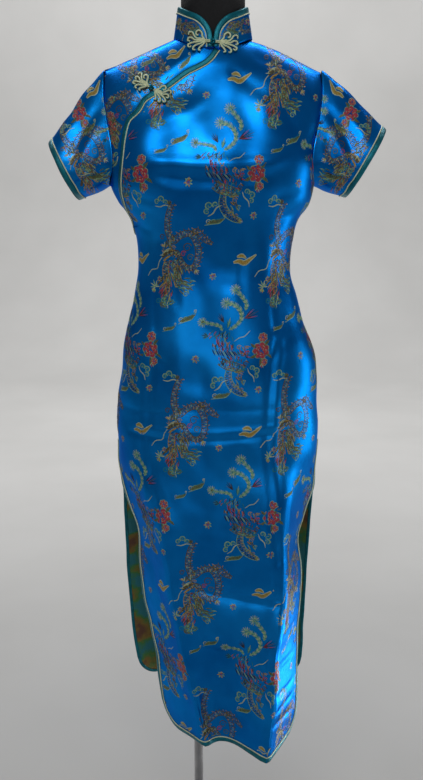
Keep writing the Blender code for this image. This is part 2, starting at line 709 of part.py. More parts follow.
def collar_sheet():
    """Stand collar: round the neck from the right front end to the left one, open in front."""
    front = [neck_point(degrees, -1, -1) for degrees in COLLAR_ANGLES]
    back = [neck_point(degrees, -1, 1) for degrees in (12, 27, 42, 58, 74)]
    half = [on_body(p.x, p.z, -1) for p in front] + [on_body(p.x, p.z, 1) for p in back]
    half[0].x = -COLLAR_SPLIT
    middle = on_body(0.0, NECK_BACK, 1)
    mirror = [Vector((-p.x, p.y, p.z)) for p in reversed(half)]
    base = half + [middle] + mirror
    runs = [0.0]
    for a, b in zip(base, base[1:]):
        runs.append(runs[-1] + (b - a).length)
    grid = []
    for j in range(COLLAR_ROWS + 1):
        line = []
        for point, run in zip(base, runs):
            tall = collar_height(min(run, runs[-1] - run)) * j / COLLAR_ROWS
            lean_x = 1.0 - (1.0 - COLLAR_LEAN_X) * tall / COLLAR_HEIGHT
            lean_y = 1.0 - (1.0 - COLLAR_LEAN_Y) * tall / COLLAR_HEIGHT
            line.append(Vector((point.x * lean_x, point.y * lean_y, point.z + 1.5 * SEAM_GAP + tall)))
        grid.append(line)
    for line in grid:
        line[0].x = -COLLAR_SPLIT
        line[-1].x = COLLAR_SPLIT
    return Sheet(grid, 1)


# ---------------------------------------------------------------- bindings and pipings

def sweep(name, frames, section, finish, around=False):
    """Solid along a path of frames, each a point and two directions, with one section."""
    mesh = bmesh.new()
    loops = []
    for point, across, lift in frames:
        loops.append([mesh.verts.new(point + across * a + lift * b) for a, b in section])
    count = len(loops)
    for j in range(count if around else count - 1):
        here = loops[j]
        ahead = loops[(j + 1) % count]
        for i in range(len(here)):
            k = (i + 1) % len(here)
            mesh.faces.new((here[i], here[k], ahead[k], ahead[i]))
    if not around:
        mesh.faces.new(loops[0])
        mesh.faces.new(loops[-1])
    return finish_mesh(name, mesh, finish)


def trim(name, sheet, cells, inward_cells, follow=False, short=0.0):
    """Binding on the very edge of a piece of cloth, and the piping along its inner side.

    Both ends stop 'short' of the edge's own ends.
    """
    middle = BINDING_WIDTH + SEAM_GAP + PIPING_RADIUS
    frames = sheet.edge_frames(cells, inward_cells, middle, follow)
    if short:
        for end, beside in ((0, 1), (-1, -2)):
            point, across, lift = frames[end]
            run = (frames[beside][0] - point).normalized()
            frames[end] = (point + run * short, across, lift)
    top = LIFT + BINDING_THICK
    band = ((0.0, LIFT), (BINDING_WIDTH, LIFT), (BINDING_WIDTH, top), (0.0, top))
    sweep(name + "_binding", frames, band, TEAL, sheet.around)
    cord = []
    for corner in range(PIPING_SIDES):
        angle = 2.0 * math.pi * (corner + 0.5) / PIPING_SIDES
        cord.append((
            middle + PIPING_RADIUS * math.cos(angle),
            LIFT + PIPING_RADIUS * (1.0 + math.sin(angle)),
        ))
    sweep(name + "_piping", frames, cord, CREAM, sheet.around)


def hem_trim(name, sheet, slit_row):
    """Trim down one slit edge, round the hem and up the other slit edge."""
    last = len(sheet.points[0]) - 1
    cells = [(j, 0) for j in range(slit_row, 0, -1)]
    inner = [(j, 1) for j in range(slit_row, 0, -1)]
    cells += [(0, i) for i in range(last + 1)]
    inner += [(1, 1)] + [(1, i) for i in range(1, last)] + [(1, last - 1)]
    cells += [(j, last) for j in range(1, slit_row + 1)]
    inner += [(j, last - 1) for j in range(1, slit_row + 1)]
    trim(name, sheet, cells, inner)


def opening_trim(sheet):
    """Trim along the slanted opening, the front's edge from the side seam to the neck."""
    first = len(FRONT_HEIGHTS) + len(BODY_HEIGHTS) + 3
    rows = range(first, len(sheet.points))
    trim("opening", sheet, [(j, 0) for j in rows], [(j, 1) for j in rows])


def cuff_trim(name, sheet):
    """Trim round a cuff."""
    last = len(sheet.points) - 1
    columns = range(len(sheet.points[0]))
    trim(name, sheet, [(last, i) for i in columns], [(last - 1, i) for i in columns], True)


def collar_trim(sheet):
    """Trim up one front end of the collar, along its top and down the other end."""
    top = len(sheet.points) - 1
    last = len(sheet.points[0]) - 1
    cells = [(j, 0) for j in range(top)]
    inner = [(j, 1) for j in range(top)]
    cells += [(top, i) for i in range(last + 1)]
    inner += [(top - 1, min(max(i, 1), last - 1)) for i in range(last + 1)]
    cells += [(j, last) for j in range(top - 1, -1, -1)]
    inner += [(j, last - 1) for j in range(top - 1, -1, -1)]
    trim("collar", sheet, cells, inner, short=COLLAR_TRIM_SHORT)


# ---------------------------------------------------------------- frog fastenings

Frog = namedtuple("Frog", "name right_x right_z left_x left_z size")
FROGS = (
    Frog("collar_frog", -0.0255, 1.4350, 0.0255, 1.4320, 0.0150),
    Frog("opening_frog", -0.1150, 1.3710, -0.0815, 1.3500, 0.0125),
)


def chest(across, height, lift):
    """Point a little in front of the collar or of the body below it."""
    lean = 1.0
    for _ in range(4):
        share = min(abs(across) / (NECK_SIDE[0] * lean), 1.0)
        base = neck_point(math.degrees(math.acos(share)), 1, -1)
        tall = max(height - base.z, 0.0)
        lean = 1.0 - (1.0 - COLLAR_LEAN_X) * tall / COLLAR_HEIGHT
    if tall > 0.0:
        depth = body_depth(base.x, base.z, -1) * (1.0 - (1.0 - COLLAR_LEAN_Y) * tall / COLLAR_HEIGHT)
    else:
        depth = body_depth(across, height, -1)
    return Vector((across, -depth - lift, height))


def frog_flower(name, centre_x, centre_z, size, turn):
    """A flower of cord: one closed line with rounded lobes, laid on the cloth."""
    points = []
    for step in range(FLOWER_POINTS):
        angle = 2.0 * math.pi * step / FLOWER_POINTS
        middle = (1.0 + FLOWER_WAIST) / 2
        reach = size * (middle + (1.0 - middle) * math.cos(FLOWER_LOBES * angle))
        across = centre_x + reach * math.cos(angle + turn)
        height = centre_z + reach * math.sin(angle + turn)
        points.append(chest(across, height, FROG_CLEAR + CORD_RADIUS))
    return cord_curve(name, points, [CORD_RADIUS] * len(points), True, CREAM)


def frog_knot(name, start, end):
    """The knot button in its loop, with the short cords that run to both flowers."""
    points = []
    radii = []
    for share in spread(13):
        bulge = math.cos(math.pi * (share - 0.5)) ** 6
        radius = CORD_RADIUS + (KNOT_RADIUS - CORD_RADIUS) * bulge
        place_on = start.lerp(end, share)
        points.append(chest(place_on.x, place_on.z, FROG_CLEAR + radius))
        radii.append(radius)
    return cord_curve(name, points, radii, False, TEAL)


def cord_curve(name, points, radii, closed, finish):
    """Round cord through points, with its own radius at each."""
    data = bpy.data.curves.new(name, "CURVE")
    data.dimensions = "3D"
    data.bevel_depth = 1.0
    data.bevel_resolution = 1
    data.use_fill_caps = True
    line = data.splines.new("POLY")
    line.points.add(len(points) - 1)
    for spot, point, radius in zip(line.points, points, radii):
        spot.co = (*point, 1.0)
        spot.radius = radius
    line.use_cyclic_u = closed
    return place(name, data, finish, True)


def make_frog(frog):
    """Both flowers of a frog and the knot between them."""
    right = flat(frog.right_x, frog.right_z)
    left = flat(frog.left_x, frog.left_z)
    run = (left - right).normalized()
    turn = math.atan2(run.z, run.x)
    frog_flower(frog.name + "_right", right.x, right.z, frog.size, turn)
    frog_flower(frog.name + "_left", left.x, left.z, frog.size, turn)
    reach = frog.size + CORD_RADIUS + SEAM_GAP
    frog_knot(frog.name + "_knot", right + run * reach, left - run * reach)


# ---------------------------------------------------------------- dress form and stand

def form_width(height):
    """Half width of the form: its table, the shoulder slope above, then the neck."""
    slope = (NECK_SIDE[1] - SHOULDER_TIP[1]) / (SHOULDER_TIP[0] - NECK_SIDE[0])
    sloped = NECK_SIDE[0] + (NECK_SIDE[1] - height) / slope - FORM_SHOULDER_EASE / math.sin(math.atan(slope))
    return max(min(at_height(FORM, height).width, sloped), NECK_RADIUS)


def form_point(share, height, side):
    """Point of the form's surface; share runs from -1 to +1 across it."""
    width = form_width(height)
    across = width * math.sin(share * math.pi / 2)
    body = max(body_depth(across, height, side) - FORM_EASE, 0.0)
    round_neck = math.sqrt(max(NECK_RADIUS ** 2 - across ** 2, 0.0)) + side * NECK_CENTRE
    depth = body + (round_neck - body) * smooth((height - NECK_START) / (NECK_FULL - NECK_START))
    depth *= max(1.0 - abs(across / width) ** FORM_END, 0.0) ** (1.0 / FORM_END)
    return Vector((across, side * max(depth, 0.0), height))


def make_form():
    """The limbless form with its neck, one closed body with a flat underside."""
    mesh = bmesh.new()
    loops = []
    for height in FORM_HEIGHTS:
        front = [form_point(share, height, -1) for share in spread(FORM_SIDE_STEPS + 1, -1.0, 1.0)]
        back = [form_point(share, height, 1) for share in spread(FORM_SIDE_STEPS + 1, 1.0, -1.0)]
        loops.append([mesh.verts.new(p) for p in front + back[1:-1]])
    for low, high in zip(loops, loops[1:]):
        for i in range(len(low)):
            k = (i + 1) % len(low)
            mesh.faces.new((low[i], low[k], high[k], high[i]))
    mesh.faces.new(loops[0])
    mesh.faces.new(loops[-1])
    return finish_mesh("form_torso", mesh, JERSEY)


def turned(name, profile, finish, on_dress=False, segments=24):
    """Solid of revolution about the vertical axis; the profile is (radius, height) pairs."""
    data = bpy.data.meshes.new(name)
    corners = [(radius, 0.0, height) for radius, height in profile]
    data.from_pydata(corners, [(k, k + 1) for k in range(len(corners) - 1)], [])
    piece = place(name, data, finish, on_dress)
    spin = piece.modifiers.new("turn", "SCREW")
    spin.steps = segments
    spin.render_steps = segments
    spin.use_merge_vertices = True
    spin.merge_threshold = 0.00001
    spin.use_smooth_shade = True
    return piece


def make_stand():
    """Foot with its socket, the pole, the plate under the form and the cap on its neck."""
    bore = POLE_RADIUS + SOCKET_FIT
    turned("base", (
        (0.0, SOCKET_FLOOR), (bore, SOCKET_FLOOR), (bore, HUB_TOP), (HUB_RADIUS - 0.002, HUB_TOP),
        (HUB_RADIUS, HUB_TOP - 0.002), (HUB_RADIUS, 0.026), (0.030, 0.018), (BASE_RADIUS - 0.010, 0.012),
        (BASE_RADIUS - 0.002, BASE_EDGE), (BASE_RADIUS, BASE_EDGE - 0.003), (BASE_RADIUS, 0.0), (0.0, 0.0),
    ), PAINT, segments=40)
    plate_top = FORM_FOOT + DRESS_RISE - SEAM_GAP
    hub_foot = plate_top - PLATE_HUB_DROP
    pole_top = plate_top - PLATE_THICK
    turned("pole", (
        (0.0, pole_top), (POLE_RADIUS, pole_top), (POLE_RADIUS, SOCKET_FLOOR + SOCKET_FIT),
        (0.0, SOCKET_FLOOR + SOCKET_FIT),
    ), STEEL)
    turned("form_plate", (
        (0.0, plate_top), (PLATE_RADIUS, plate_top), (PLATE_RADIUS, plate_top - 0.006),
        (HUB_RADIUS, plate_top - PLATE_THICK), (HUB_RADIUS - 0.003, hub_foot), (bore, hub_foot),
        (bore, pole_top + SOCKET_FIT), (0.0, pole_top + SOCKET_FIT),
    ), PAINT)
    cap_foot = NECK_TOP + SEAM_GAP
    turned("form_cap", (
        (0.0, cap_foot + CAP_HEIGHT), (NECK_RADIUS - 0.006, cap_foot + CAP_HEIGHT),
        (NECK_RADIUS - 0.001, cap_foot + CAP_HEIGHT - 0.002), (NECK_RADIUS, cap_foot + 0.002),
        (NECK_RADIUS - 0.001, cap_foot), (0.0, cap_foot),
    ), PAINT, on_dress=True).location.y = NECK_CENTRE


# ---------------------------------------------------------------- build

for old in list(bpy.data.objects):
    bpy.data.objects.remove(old)

collection = bpy.data.collections.new("cheongsam_on_form")
bpy.context.scene.collection.children.link(collection)

front = front_sheet()
back = back_sheet()
front.wall("front_panel", BROCADE)
back.wall("back_panel", BROCADE)
flap_sheet().wall("under_flap", BROCADE)
hem_trim("front_hem", front, len(FRONT_HEIGHTS) + 2)
hem_trim("back_hem", back, len(BACK_HEIGHTS) + 2)
opening_trim(front)

for arm_name, arm_sign in (("right", -1), ("left", 1)):
    sleeve = sleeve_sheet(arm_sign)
    sleeve.wall("sleeve_" + arm_name, BROCADE)
    cuff_trim("cuff_" + arm_name, sleeve)

collar = collar_sheet()
collar.wall("collar", BROCADE)
collar_trim(collar)

for fastening in FROGS:
    make_frog(fastening)

make_form()
make_stand()
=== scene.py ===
# %% [markdown]
# # A brocade cheongsam on its dress form
#
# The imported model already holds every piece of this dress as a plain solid, in metres and with
# its front towards -Y. This lesson dresses it: the cloth gets its soft creases, its woven
# dragons, phoenixes and peonies, its satin edges and its knotted frogs. Nothing is moved, so
# each new piece is worked out in the frame of the solids and stands where its solid stands.

# %% Load the fixed frame
import math

import bmesh
import bpy
import numpy as np
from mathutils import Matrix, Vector
from mathutils.bvhtree import BVHTree


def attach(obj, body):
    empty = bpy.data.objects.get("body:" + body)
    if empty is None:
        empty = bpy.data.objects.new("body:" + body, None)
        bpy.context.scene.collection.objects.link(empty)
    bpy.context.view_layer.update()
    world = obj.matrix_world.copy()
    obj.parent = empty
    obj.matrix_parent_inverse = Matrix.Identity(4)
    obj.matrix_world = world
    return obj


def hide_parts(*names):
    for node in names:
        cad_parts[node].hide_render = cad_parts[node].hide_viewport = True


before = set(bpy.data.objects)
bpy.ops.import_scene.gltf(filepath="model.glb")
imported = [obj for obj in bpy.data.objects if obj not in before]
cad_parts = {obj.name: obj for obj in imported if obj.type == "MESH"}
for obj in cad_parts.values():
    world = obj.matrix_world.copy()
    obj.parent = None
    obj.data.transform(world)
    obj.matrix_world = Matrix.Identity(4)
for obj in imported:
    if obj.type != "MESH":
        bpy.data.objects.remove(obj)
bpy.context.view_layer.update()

# %% [markdown]
# ## Finishes
#
# Silk satin shows long floats of thread, so it shines in broad soft bands of its own colour.
# A Principled shader that is nearly all metallic gives that coloured shine, with a paler blue
# where the cloth turns away, and a very fine bump of threads breaks it up. Each finish is made
# by one helper, which takes the two colours that a noise blends between, so that no surface is
# one flat colour. On the satin the noise is broad and its two blues far apart: those big light and
# dark patches are painted sheen, blotches of shine painted into the colour.

# %% Helper: a finish with mottled colour and a woven bump
DRIFT_ENDS = 0.35, 0.65     # where a noise has fully turned to the dark and the light colour
THREAD_RELIEF = 0.0003


def setup(node, **values):
    """Set a shader node's inputs by their names."""
    for key, value in values.items():
        node.inputs[key.replace("_", " ")].default_value = value
    return node


def finish(name, light, dark, roughness, metallic=0.0, grain=60.0, weave=0.0, bump=0.2,
           rim=(1.0, 1.0, 1.0), anisotropic=0.0):
    """A Principled material whose colour drifts between two colours, with a thread bump."""
    made = bpy.data.materials.new(name)
    made.use_nodes = True
    nodes, link = made.node_tree.nodes, made.node_tree.links.new
    shader = setup(nodes["Principled BSDF"], Roughness=roughness, Metallic=metallic,
                   Specular_Tint=(*rim, 1.0), Anisotropic=anisotropic)
    place = nodes.new("ShaderNodeTexCoord").outputs["Object"]
    drift = setup(nodes.new("ShaderNodeTexNoise"), Scale=grain, Detail=4.0)
    ramp = nodes.new("ShaderNodeValToRGB")
    for end, position, colour in zip(ramp.color_ramp.elements, DRIFT_ENDS, (dark, light)):
        end.position, end.color = position, (*colour, 1.0)
    link(place, drift.inputs["Vector"])
    link(drift.outputs["Fac"], ramp.inputs["Fac"])
    link(ramp.outputs["Color"], shader.inputs["Base Color"])
    if weave:
        threads = setup(nodes.new("ShaderNodeTexWave"), Scale=weave, Distortion=1.5, Detail=2.0)
        threads.bands_direction = "Z"
        relief = setup(nodes.new("ShaderNodeBump"), Strength=bump, Distance=THREAD_RELIEF)
        link(place, threads.inputs["Vector"])
        link(threads.outputs["Fac"], relief.inputs["Height"])
        link(relief.outputs["Normal"], shader.inputs["Normal"])
    return made


# %% The dress's own finishes
# the satin's broad light and dark blue patches, from its coarse noise (grain 7), are painted sheen
satin = finish("blue_satin", (0.005, 0.29, 0.86), (0.001, 0.165, 0.58), 0.33, 0.92,
               grain=7.0, weave=420.0, bump=0.1, rim=(0.03, 0.42, 0.8), anisotropic=0.3)
reverse = finish("brocade_reverse", (0.018, 0.19, 0.23), (0.15, 0.065, 0.035), 0.62, 0.1,
                 grain=16.0, weave=300.0, bump=0.35)
bands = reverse.node_tree.nodes["Color Ramp"].color_ramp.elements
bands.new(0.42).color = (0.24, 0.15, 0.025, 1.0)
bands.new(0.48).color = (0.05, 0.21, 0.05, 1.0)
bands[3].position = 0.54
teal = finish("teal_binding", (0.004, 0.205, 0.265), (0.002, 0.145, 0.195), 0.38, 0.6,
              grain=120.0, weave=700.0, bump=0.2)
cream = finish("cream_piping", (0.86, 0.91, 0.6), (0.74, 0.8, 0.48), 0.42, 0.05,
               grain=300.0, weave=900.0, bump=0.5)
jersey = finish("black_jersey", (0.007, 0.007, 0.008), (0.004, 0.004, 0.005), 0.8, 0.0,
                grain=180.0, weave=1100.0, bump=0.4)
print("finishes of the dress and the form:", satin.name, reverse.name, teal.name, cream.name, jersey.name)

# %% Finishes of the woven figures
THREADS = {name: finish("thread_" + name, light, dark, roughness, metallic, 400.0)
           for name, light, dark, roughness, metallic in (
    ("gold", (0.52, 0.33, 0.07), (0.3, 0.2, 0.04), 0.45, 0.3),
    ("olive", (0.15, 0.17, 0.07), (0.07, 0.1, 0.05), 0.46, 0.3),
    ("bronze", (0.115, 0.092, 0.048), (0.052, 0.044, 0.028), 0.46, 0.3),
    ("green", (0.28, 0.48, 0.24), (0.15, 0.33, 0.2), 0.42, 0.2),
    ("cream", (0.52, 0.6, 0.36), (0.36, 0.45, 0.28), 0.42, 0.2),
    ("coral", (0.52, 0.05, 0.075), (0.28, 0.03, 0.05), 0.46, 0.15),
    ("navy", (0.004, 0.02, 0.08), (0.002, 0.012, 0.05), 0.46, 0.3),
    ("teal", (0.012, 0.26, 0.33), (0.008, 0.17, 0.25), 0.4, 0.3),
)}
THREAD_ORDER = list(THREADS)
print("thread colours:", THREAD_ORDER)

# %% [markdown]
# ## The shape of the dress
#
# The solids were lofted from a few tables: rings of the body, the line of the armholes, the
# slanted opening and the folds of the free skirt. The cloth of this lesson follows the same
# tables, only with far finer rows, so it lies in the same place. The tables are in millimetres
# and the single sizes in metres. "minus" is the side towards -X, the wearer's right, and
# "plus" the side towards +X.

# %% Tables of the body
DRESS_SHIFT = 0.028         # the dress stands this far to +X of the pole
DRESS_RISE = 0.1            # and the tables' zero height is this far above the floor
FABRIC = 0.0012             # the brocade with its backing
SQUARENESS = 2.4            # exponent of the body's rounded sections
UNDERARM = 1.207
BODICE_FOOT = 1.135         # where the slanted opening meets the side seam
SHOULDER_TIP = (0.181, 1.396)
NECK_SIDE = (0.0655, 1.445)
NECK_FRONT = 1.423
NECK_BACK = 1.443
SHOULDER_ROLL = 0.07
NECK_SOFT = 0.02
SLIT_TOP = 0.757
HEM = 0.212
CORNER = 0.045
FOLD_FULL = 0.65
RIDGE_SHARE = 0.42
OPENING_NECK_ANGLE = 87.0

BODY = (                    # height, half widths minus and plus, depths front and back
    (600, 172, 189, 116, 126), (757, 170, 189, 114, 124), (828, 171, 186, 113, 125),
    (905, 163, 181, 110, 118), (944, 157, 171, 108, 110), (980, 147, 157, 103, 102), (1024, 135, 146, 96, 92),
    (1061, 130, 134, 92, 86), (1108, 130, 137, 96, 87), (1150, 141, 145, 106, 91), (1180, 161, 160, 118, 95),
    (1207, 174, 168, 129, 98), (1240, 180, 176, 134, 100), (1270, 182, 180, 128, 102),
    (1300, 184, 183, 115, 103), (1350, 186, 186, 91, 98), (1396, 186, 186, 70, 89), (1430, 186, 186, 61, 88),
    (1480, 186, 186, 55, 86),
)
ARMHOLES = (                # height, half widths minus and plus
    (1207, 174, 168), (1230, 166, 163), (1270, 166, 165), (1310, 173, 173), (1350, 180, 179),
    (1396, 181, 181),
)
OPENING = (                 # height, and the place across in thousandths of the half width
    (1135, -1000), (1141, -996), (1150, -984), (1165, -964), (1185, -930), (1215, -876), (1250, -832),
    (1285, -800), (1312, -753), (1328, -659), (1344, -592), (1360, -441), (1388, -237), (1404, -65),
    (1423.1, 18),
)
# height, then x and y of: edge, ridge, middle, ridge, edge, from -X to +X
FRONT_FOLDS = (
    (200, -86, -30, -10, -123, 32, -100, 94, -181, 157, -45),
    (300, -101, -28, -30, -124, 26, -108, 106, -168, 158, -43),
    (400, -116, -24, -55, -124, 20, -114, 112, -153, 158, -37),
    (500, -132, -20, -72, -122, 14, -118, 122, -136, 163, -26),
    (580, -138, -15, -85, -120, 12, -120, 125, -126, 159, -18),
    (630, -154, -10, -89, -117, 10, -120, 125, -120, 171, -12),
    (680, -167, -5, -92, -114, 10, -119, 124, -116, 185, -6),
    (760, -170, 0, -96, -108, 10, -116, 124, -109, 189, 0),
)
BACK_FOLDS = (
    (200, -148, 130, -95, 172, 10, 140, 118, 174, 180, 130),
    (300, -163, 130, -98, 168, 10, 142, 118, 170, 185, 130),
    (400, -170, 124, -100, 160, 10, 142, 120, 162, 187, 124),
    (500, -173, 110, -102, 150, 10, 140, 120, 152, 189, 110),
    (600, -173, 82, -104, 138, 10, 134, 120, 140, 190, 82),
    (700, -171, 38, -106, 124, 10, 128, 120, 126, 190, 38),
    (760, -170, 0, -106, 114, 10, 124, 120, 114, 189, 0),
)
print("rings:", len(BODY), "folds:", len(FRONT_FOLDS), "+", len(BACK_FOLDS))


# %% Helper: read a table at any heights
def read(table, height):
    """Columns of a table at an array of heights, along a smooth curve through its rows."""
    rows = np.array(table) / 1000
    levels = rows[:, 0]
    height = np.clip(np.asarray(height, float), levels[0], levels[-1])
    low = np.clip(np.searchsorted(levels, height) - 1, 0, len(levels) - 2)
    before, after = np.maximum(low - 1, 0), np.minimum(low + 2, len(levels) - 1)
    step = levels[low + 1] - levels[low]
    share = ((height - levels[low]) / step)[..., None]
    a, b = rows[low], rows[low + 1]
    slope_a = (b - rows[before]) * (step / np.maximum(levels[low + 1] - levels[before], step))[..., None]
    slope_b = (rows[after] - a) * (step / np.maximum(levels[after] - levels[low], step))[..., None]
    square, cube = share ** 2, share ** 3
    value = ((2 * cube - 3 * square + 1) * a + (cube - 2 * square + share) * slope_a
             + (3 * square - 2 * cube) * b + (cube - square) * slope_b)
    return np.moveaxis(value[..., 1:], -1, 0)


def smooth(share):
    """Ease from 0 to 1 with no kink at either end."""
    share = np.clip(share, 0.0, 1.0)
    return share * share * (3.0 - 2.0 * share)


def unit(ways):
    """The same ways with a length of one."""
    return ways / np.maximum(np.linalg.norm(ways, axis=-1, keepdims=True), 1e-12)


def left_of(ways):
    """Flat ways turned a quarter to the left."""
    return np.stack((-ways[..., 1], ways[..., 0]), -1)


def lengths(chain):
    """How far each point of a chain is from its start, along the chain."""
    return np.concatenate(((0.0,), np.cumsum(np.linalg.norm(np.diff(chain, axis=0), axis=1))))


def at_lengths(wanted, steps, chain):
    """Places of a chain at some lengths, where its points are at the lengths 'steps'."""
    return np.stack([np.interp(wanted, steps, column) for column in chain.T], -1)


# %% The fitted body and the hanging skirt
def shoulder_line(across):
    """Height of the shoulder seam above a place across the body."""
    neck, tip = math.hypot(NECK_SIDE[0], NECK_SOFT), math.hypot(SHOULDER_TIP[0], NECK_SOFT)
    slope = (NECK_SIDE[1] - SHOULDER_TIP[1]) / (tip - neck)
    return NECK_SIDE[1] - (np.hypot(across, NECK_SOFT) - neck) * slope


def body_depth(across, height, side):
    """How far the dress stands off the middle plane: side -1 is the front, +1 the back."""
    minus, plus, front, back = read(BODY, height)
    share = np.minimum(np.abs(across) / np.where(across < 0, minus, plus), 1.0)
    below = np.clip((shoulder_line(across) - height) / SHOULDER_ROLL, 0.0, 1.0)
    reach = front if side < 0 else back
    return reach * (1 - share ** SQUARENESS) ** (1 / SQUARENESS) * np.sqrt(below * (2 - below))


def ring_across(share, height):
    """Place across the body of a share of its ring: -1 and +1 are the side seams."""
    minus, plus = read(BODY, height)[:2]
    angle = np.abs(share) * math.pi / 2
    return np.sign(share) * np.where(share < 0, minus, plus) * np.sin(angle) ** (2 / SQUARENESS)


def fold_point(share, height, side):
    """Point of the free skirt: facet, ridge, shallow trough, ridge, facet."""
    row = read(FRONT_FOLDS if side < 0 else BACK_FOLDS, height)
    edge_m, ridge_m, middle, ridge_p, edge_p = [
        np.stack((row[k], row[k + 1]), -1) for k in range(0, 10, 2)]

    def raw(place):
        place = place[..., None]
        part = place / RIDGE_SHARE
        inner = 0.5 * part * (part - 1) * ridge_m + (1 - part ** 2) * middle
        inner = inner + 0.5 * part * (part + 1) * ridge_p
        left = edge_m + (ridge_m - edge_m) * (place + 1) / (1 - RIDGE_SHARE)
        right = edge_p + (ridge_p - edge_p) * (1 - place) / (1 - RIDGE_SHARE)
        return np.where(place < -RIDGE_SHARE, left, np.where(place > RIDGE_SHARE, right, inner))

    blur = np.minimum(0.07, 1 - np.abs(share))
    return (raw(share - blur) + 2 * raw(share) + raw(share + blur)) / 4


def skirt_point(share, height, side):
    """Points of a panel below the bodice, from the fitted body into the hanging folds."""
    share, height = np.broadcast_arrays(np.asarray(share, float), np.asarray(height, float))
    front, back = read(BODY, height)[2:]
    depth = np.maximum(np.cos(np.abs(share) * math.pi / 2), 0.0) ** (2 / SQUARENESS)
    fitted = np.stack((ring_across(share, height), side * depth * (front if side < 0 else back)), -1)
    hang = smooth((SLIT_TOP - height) / (SLIT_TOP - FOLD_FULL))[..., None]
    flat = fitted + (fold_point(share, height, side) - fitted) * hang
    return np.concatenate((flat, height[..., None]), -1)


print("half depth at the bust:", float(body_depth(0.0, 1.24, -1)))

# %% [markdown]
# ## Creases
#
# A worn satin dress is never smooth: it keeps the folds of its packing, and it pulls softly at
# the bust, the waist and the underarms. They could be simulated, but here each one is listed
# as a soft trough or ridge between two points of the front or back view. The pressed folds
# are sharp along their line, and a slight rumple of long waves lies over all. The helper pushes
# the cloth along its own normal by the sum of all of them, each crease fading at its ends.

# %% Creases of the front, the back and the sleeves
# x and height of one end, x and height of the other, half width, depth (minus is a trough)
CREASE_BOW = 0.04           # how far a crease bows out, as a share of its length
RUMPLES = (0.11, 0.00062), (0.048, 0.00026)     # wave length and depth
FRONT_CREASES = (
    (-92, 1130, -94, 960, 7, -2.2), (-94, 960, -98, 640, 6, -2), (104, 1120, 104, 960, 7, -2.2),
    (104, 960, 112, 560, 5.5, -2.4), (118, 960, 122, 580, 6, 1.8), (-108, 980, -110, 660, 6.5, 1.4),
    (-150, 792, 168, 806, 4.5, -1.6), (-140, 806, 150, 817, 4.5, 1.2), (-150, 1205, -85, 1180, 6, -2.2),
    (-150, 1188, -95, 1160, 5.5, -1.8), (-140, 1160, -100, 1130, 6, -1.6), (148, 1200, 95, 1182, 7, -2),
    (140, 1168, 100, 1140, 6.5, -1.6), (150, 1260, 110, 1330, 8, -1.8), (-40, 1160, 50, 1158, 16, -2.2),
    (-112, 1246, 122, 1247, 12.5, 4.8), (-100, 1222, 108, 1223, 12, -3), (-60, 1110, -56, 1000, 8, -1.6),
    (50, 1110, 52, 1000, 8, -1.6), (-125, 960, -70, 905, 9, -1.6), (135, 960, 80, 900, 9, -1.6),
    (-30, 980, 30, 960, 12, -1.2), (-80, 900, 10, 870, 14, -1.2), (-70, 690, 80, 660, 20, -2.2),
    (-50, 620, 60, 600, 18, 1.8), (-20, 440, 70, 425, 12, 2.2), (-30, 405, 80, 395, 11, -2),
    (-10, 370, 70, 362, 13, 2.2), (0, 330, 80, 320, 11, -2), (5, 290, 80, 275, 12, 1.6),
    (110, 330, 150, 318, 5, -2), (108, 300, 148, 292, 4.5, -1.8), (106, 275, 146, 262, 4.5, -2),
    (112, 380, 152, 372, 6, -1.8), (112, 440, 152, 425, 7, -1.8), (-110, 560, -75, 420, 8, -2),
    (-90, 400, -40, 280, 9, -1.8), (20, 1400, 110, 1330, 10, -1.4), (60, 1420, 140, 1380, 9, -1.2),
    (-60, 435, 80, 425, 45, 11), (-60, 330, 0, 330, 25, 5), (0, 800, 110, 792, 45, 5.5),
    (-100, 800, -40, 792, 35, 3), (-140, 1345, -60, 1395, 11, 2.2), (-130, 1310, -20, 1375, 12, -2.2),
    (-120, 1290, 0, 1350, 12, 2),
)
PRESSED_FRONT = (           # pressed folds, sharp along their line
    (106, 1150, 108, 880, 20, 3.6), (108, 900, 118, 420, 22, 5), (-93, 1120, -94, 880, 16, 2.4),
    (-94, 900, -98, 540, 18, 2.8), (-170, 834, -10, 842, 12, -2.2), (-10, 842, 180, 850, 12, -1.6),
    (-45, 529, 124, 504, 5.5, -3.6), (-35, 518, 122, 492, 6, -4),
)
PRESSED_BACK = (
    (108, 1120, 116, 420, 20, 4), (-94, 1120, -98, 440, 20, 3.4), (-170, 838, 180, 846, 12, -2),
    (-120, 500, 130, 494, 8, -2.4),
)
BACK_CREASES = (
    (-94, 1120, -98, 640, 6.5, -2.2), (106, 1120, 110, 600, 6.5, -2.2), (-150, 800, 168, 806, 4.5, -1.6),
    (-120, 480, 140, 478, 4.5, -2), (-120, 493, 140, 491, 5, 1.8), (-60, 1120, -58, 960, 8, -1.8),
    (60, 1120, 58, 960, 8, -1.8), (-80, 1000, 70, 985, 12, -2), (-70, 965, 80, 955, 12, 1.6),
    (-140, 1200, -60, 1170, 8, -1.8), (140, 1200, 60, 1175, 8, -1.8), (-140, 1330, -60, 1290, 12, -1.6),
    (140, 1330, 60, 1300, 12, -1.6), (-90, 720, 80, 690, 20, -2), (-60, 640, 90, 620, 18, 1.8),
    (-80, 420, 60, 405, 13, 2), (-60, 360, 90, 350, 13, -2), (-80, 300, 80, 285, 12, 1.8),
)
SLEEVE_CREASES = (          # for the right arm; the left arm mirrors them
    (-186, 1335, -235, 1255, 9, -3), (-192, 1300, -222, 1235, 7, 2.4), (-182, 1275, -212, 1225, 6.5, -3),
    (-215, 1330, -258, 1272, 8, 2.2), (-170, 1240, -200, 1215, 6, -2.6), (-176, 1222, -236, 1208, 5.5, -3.6),
    (-180, 1208, -232, 1196, 6, 2.6), (-200, 1375, -240, 1330, 10, 2),
)


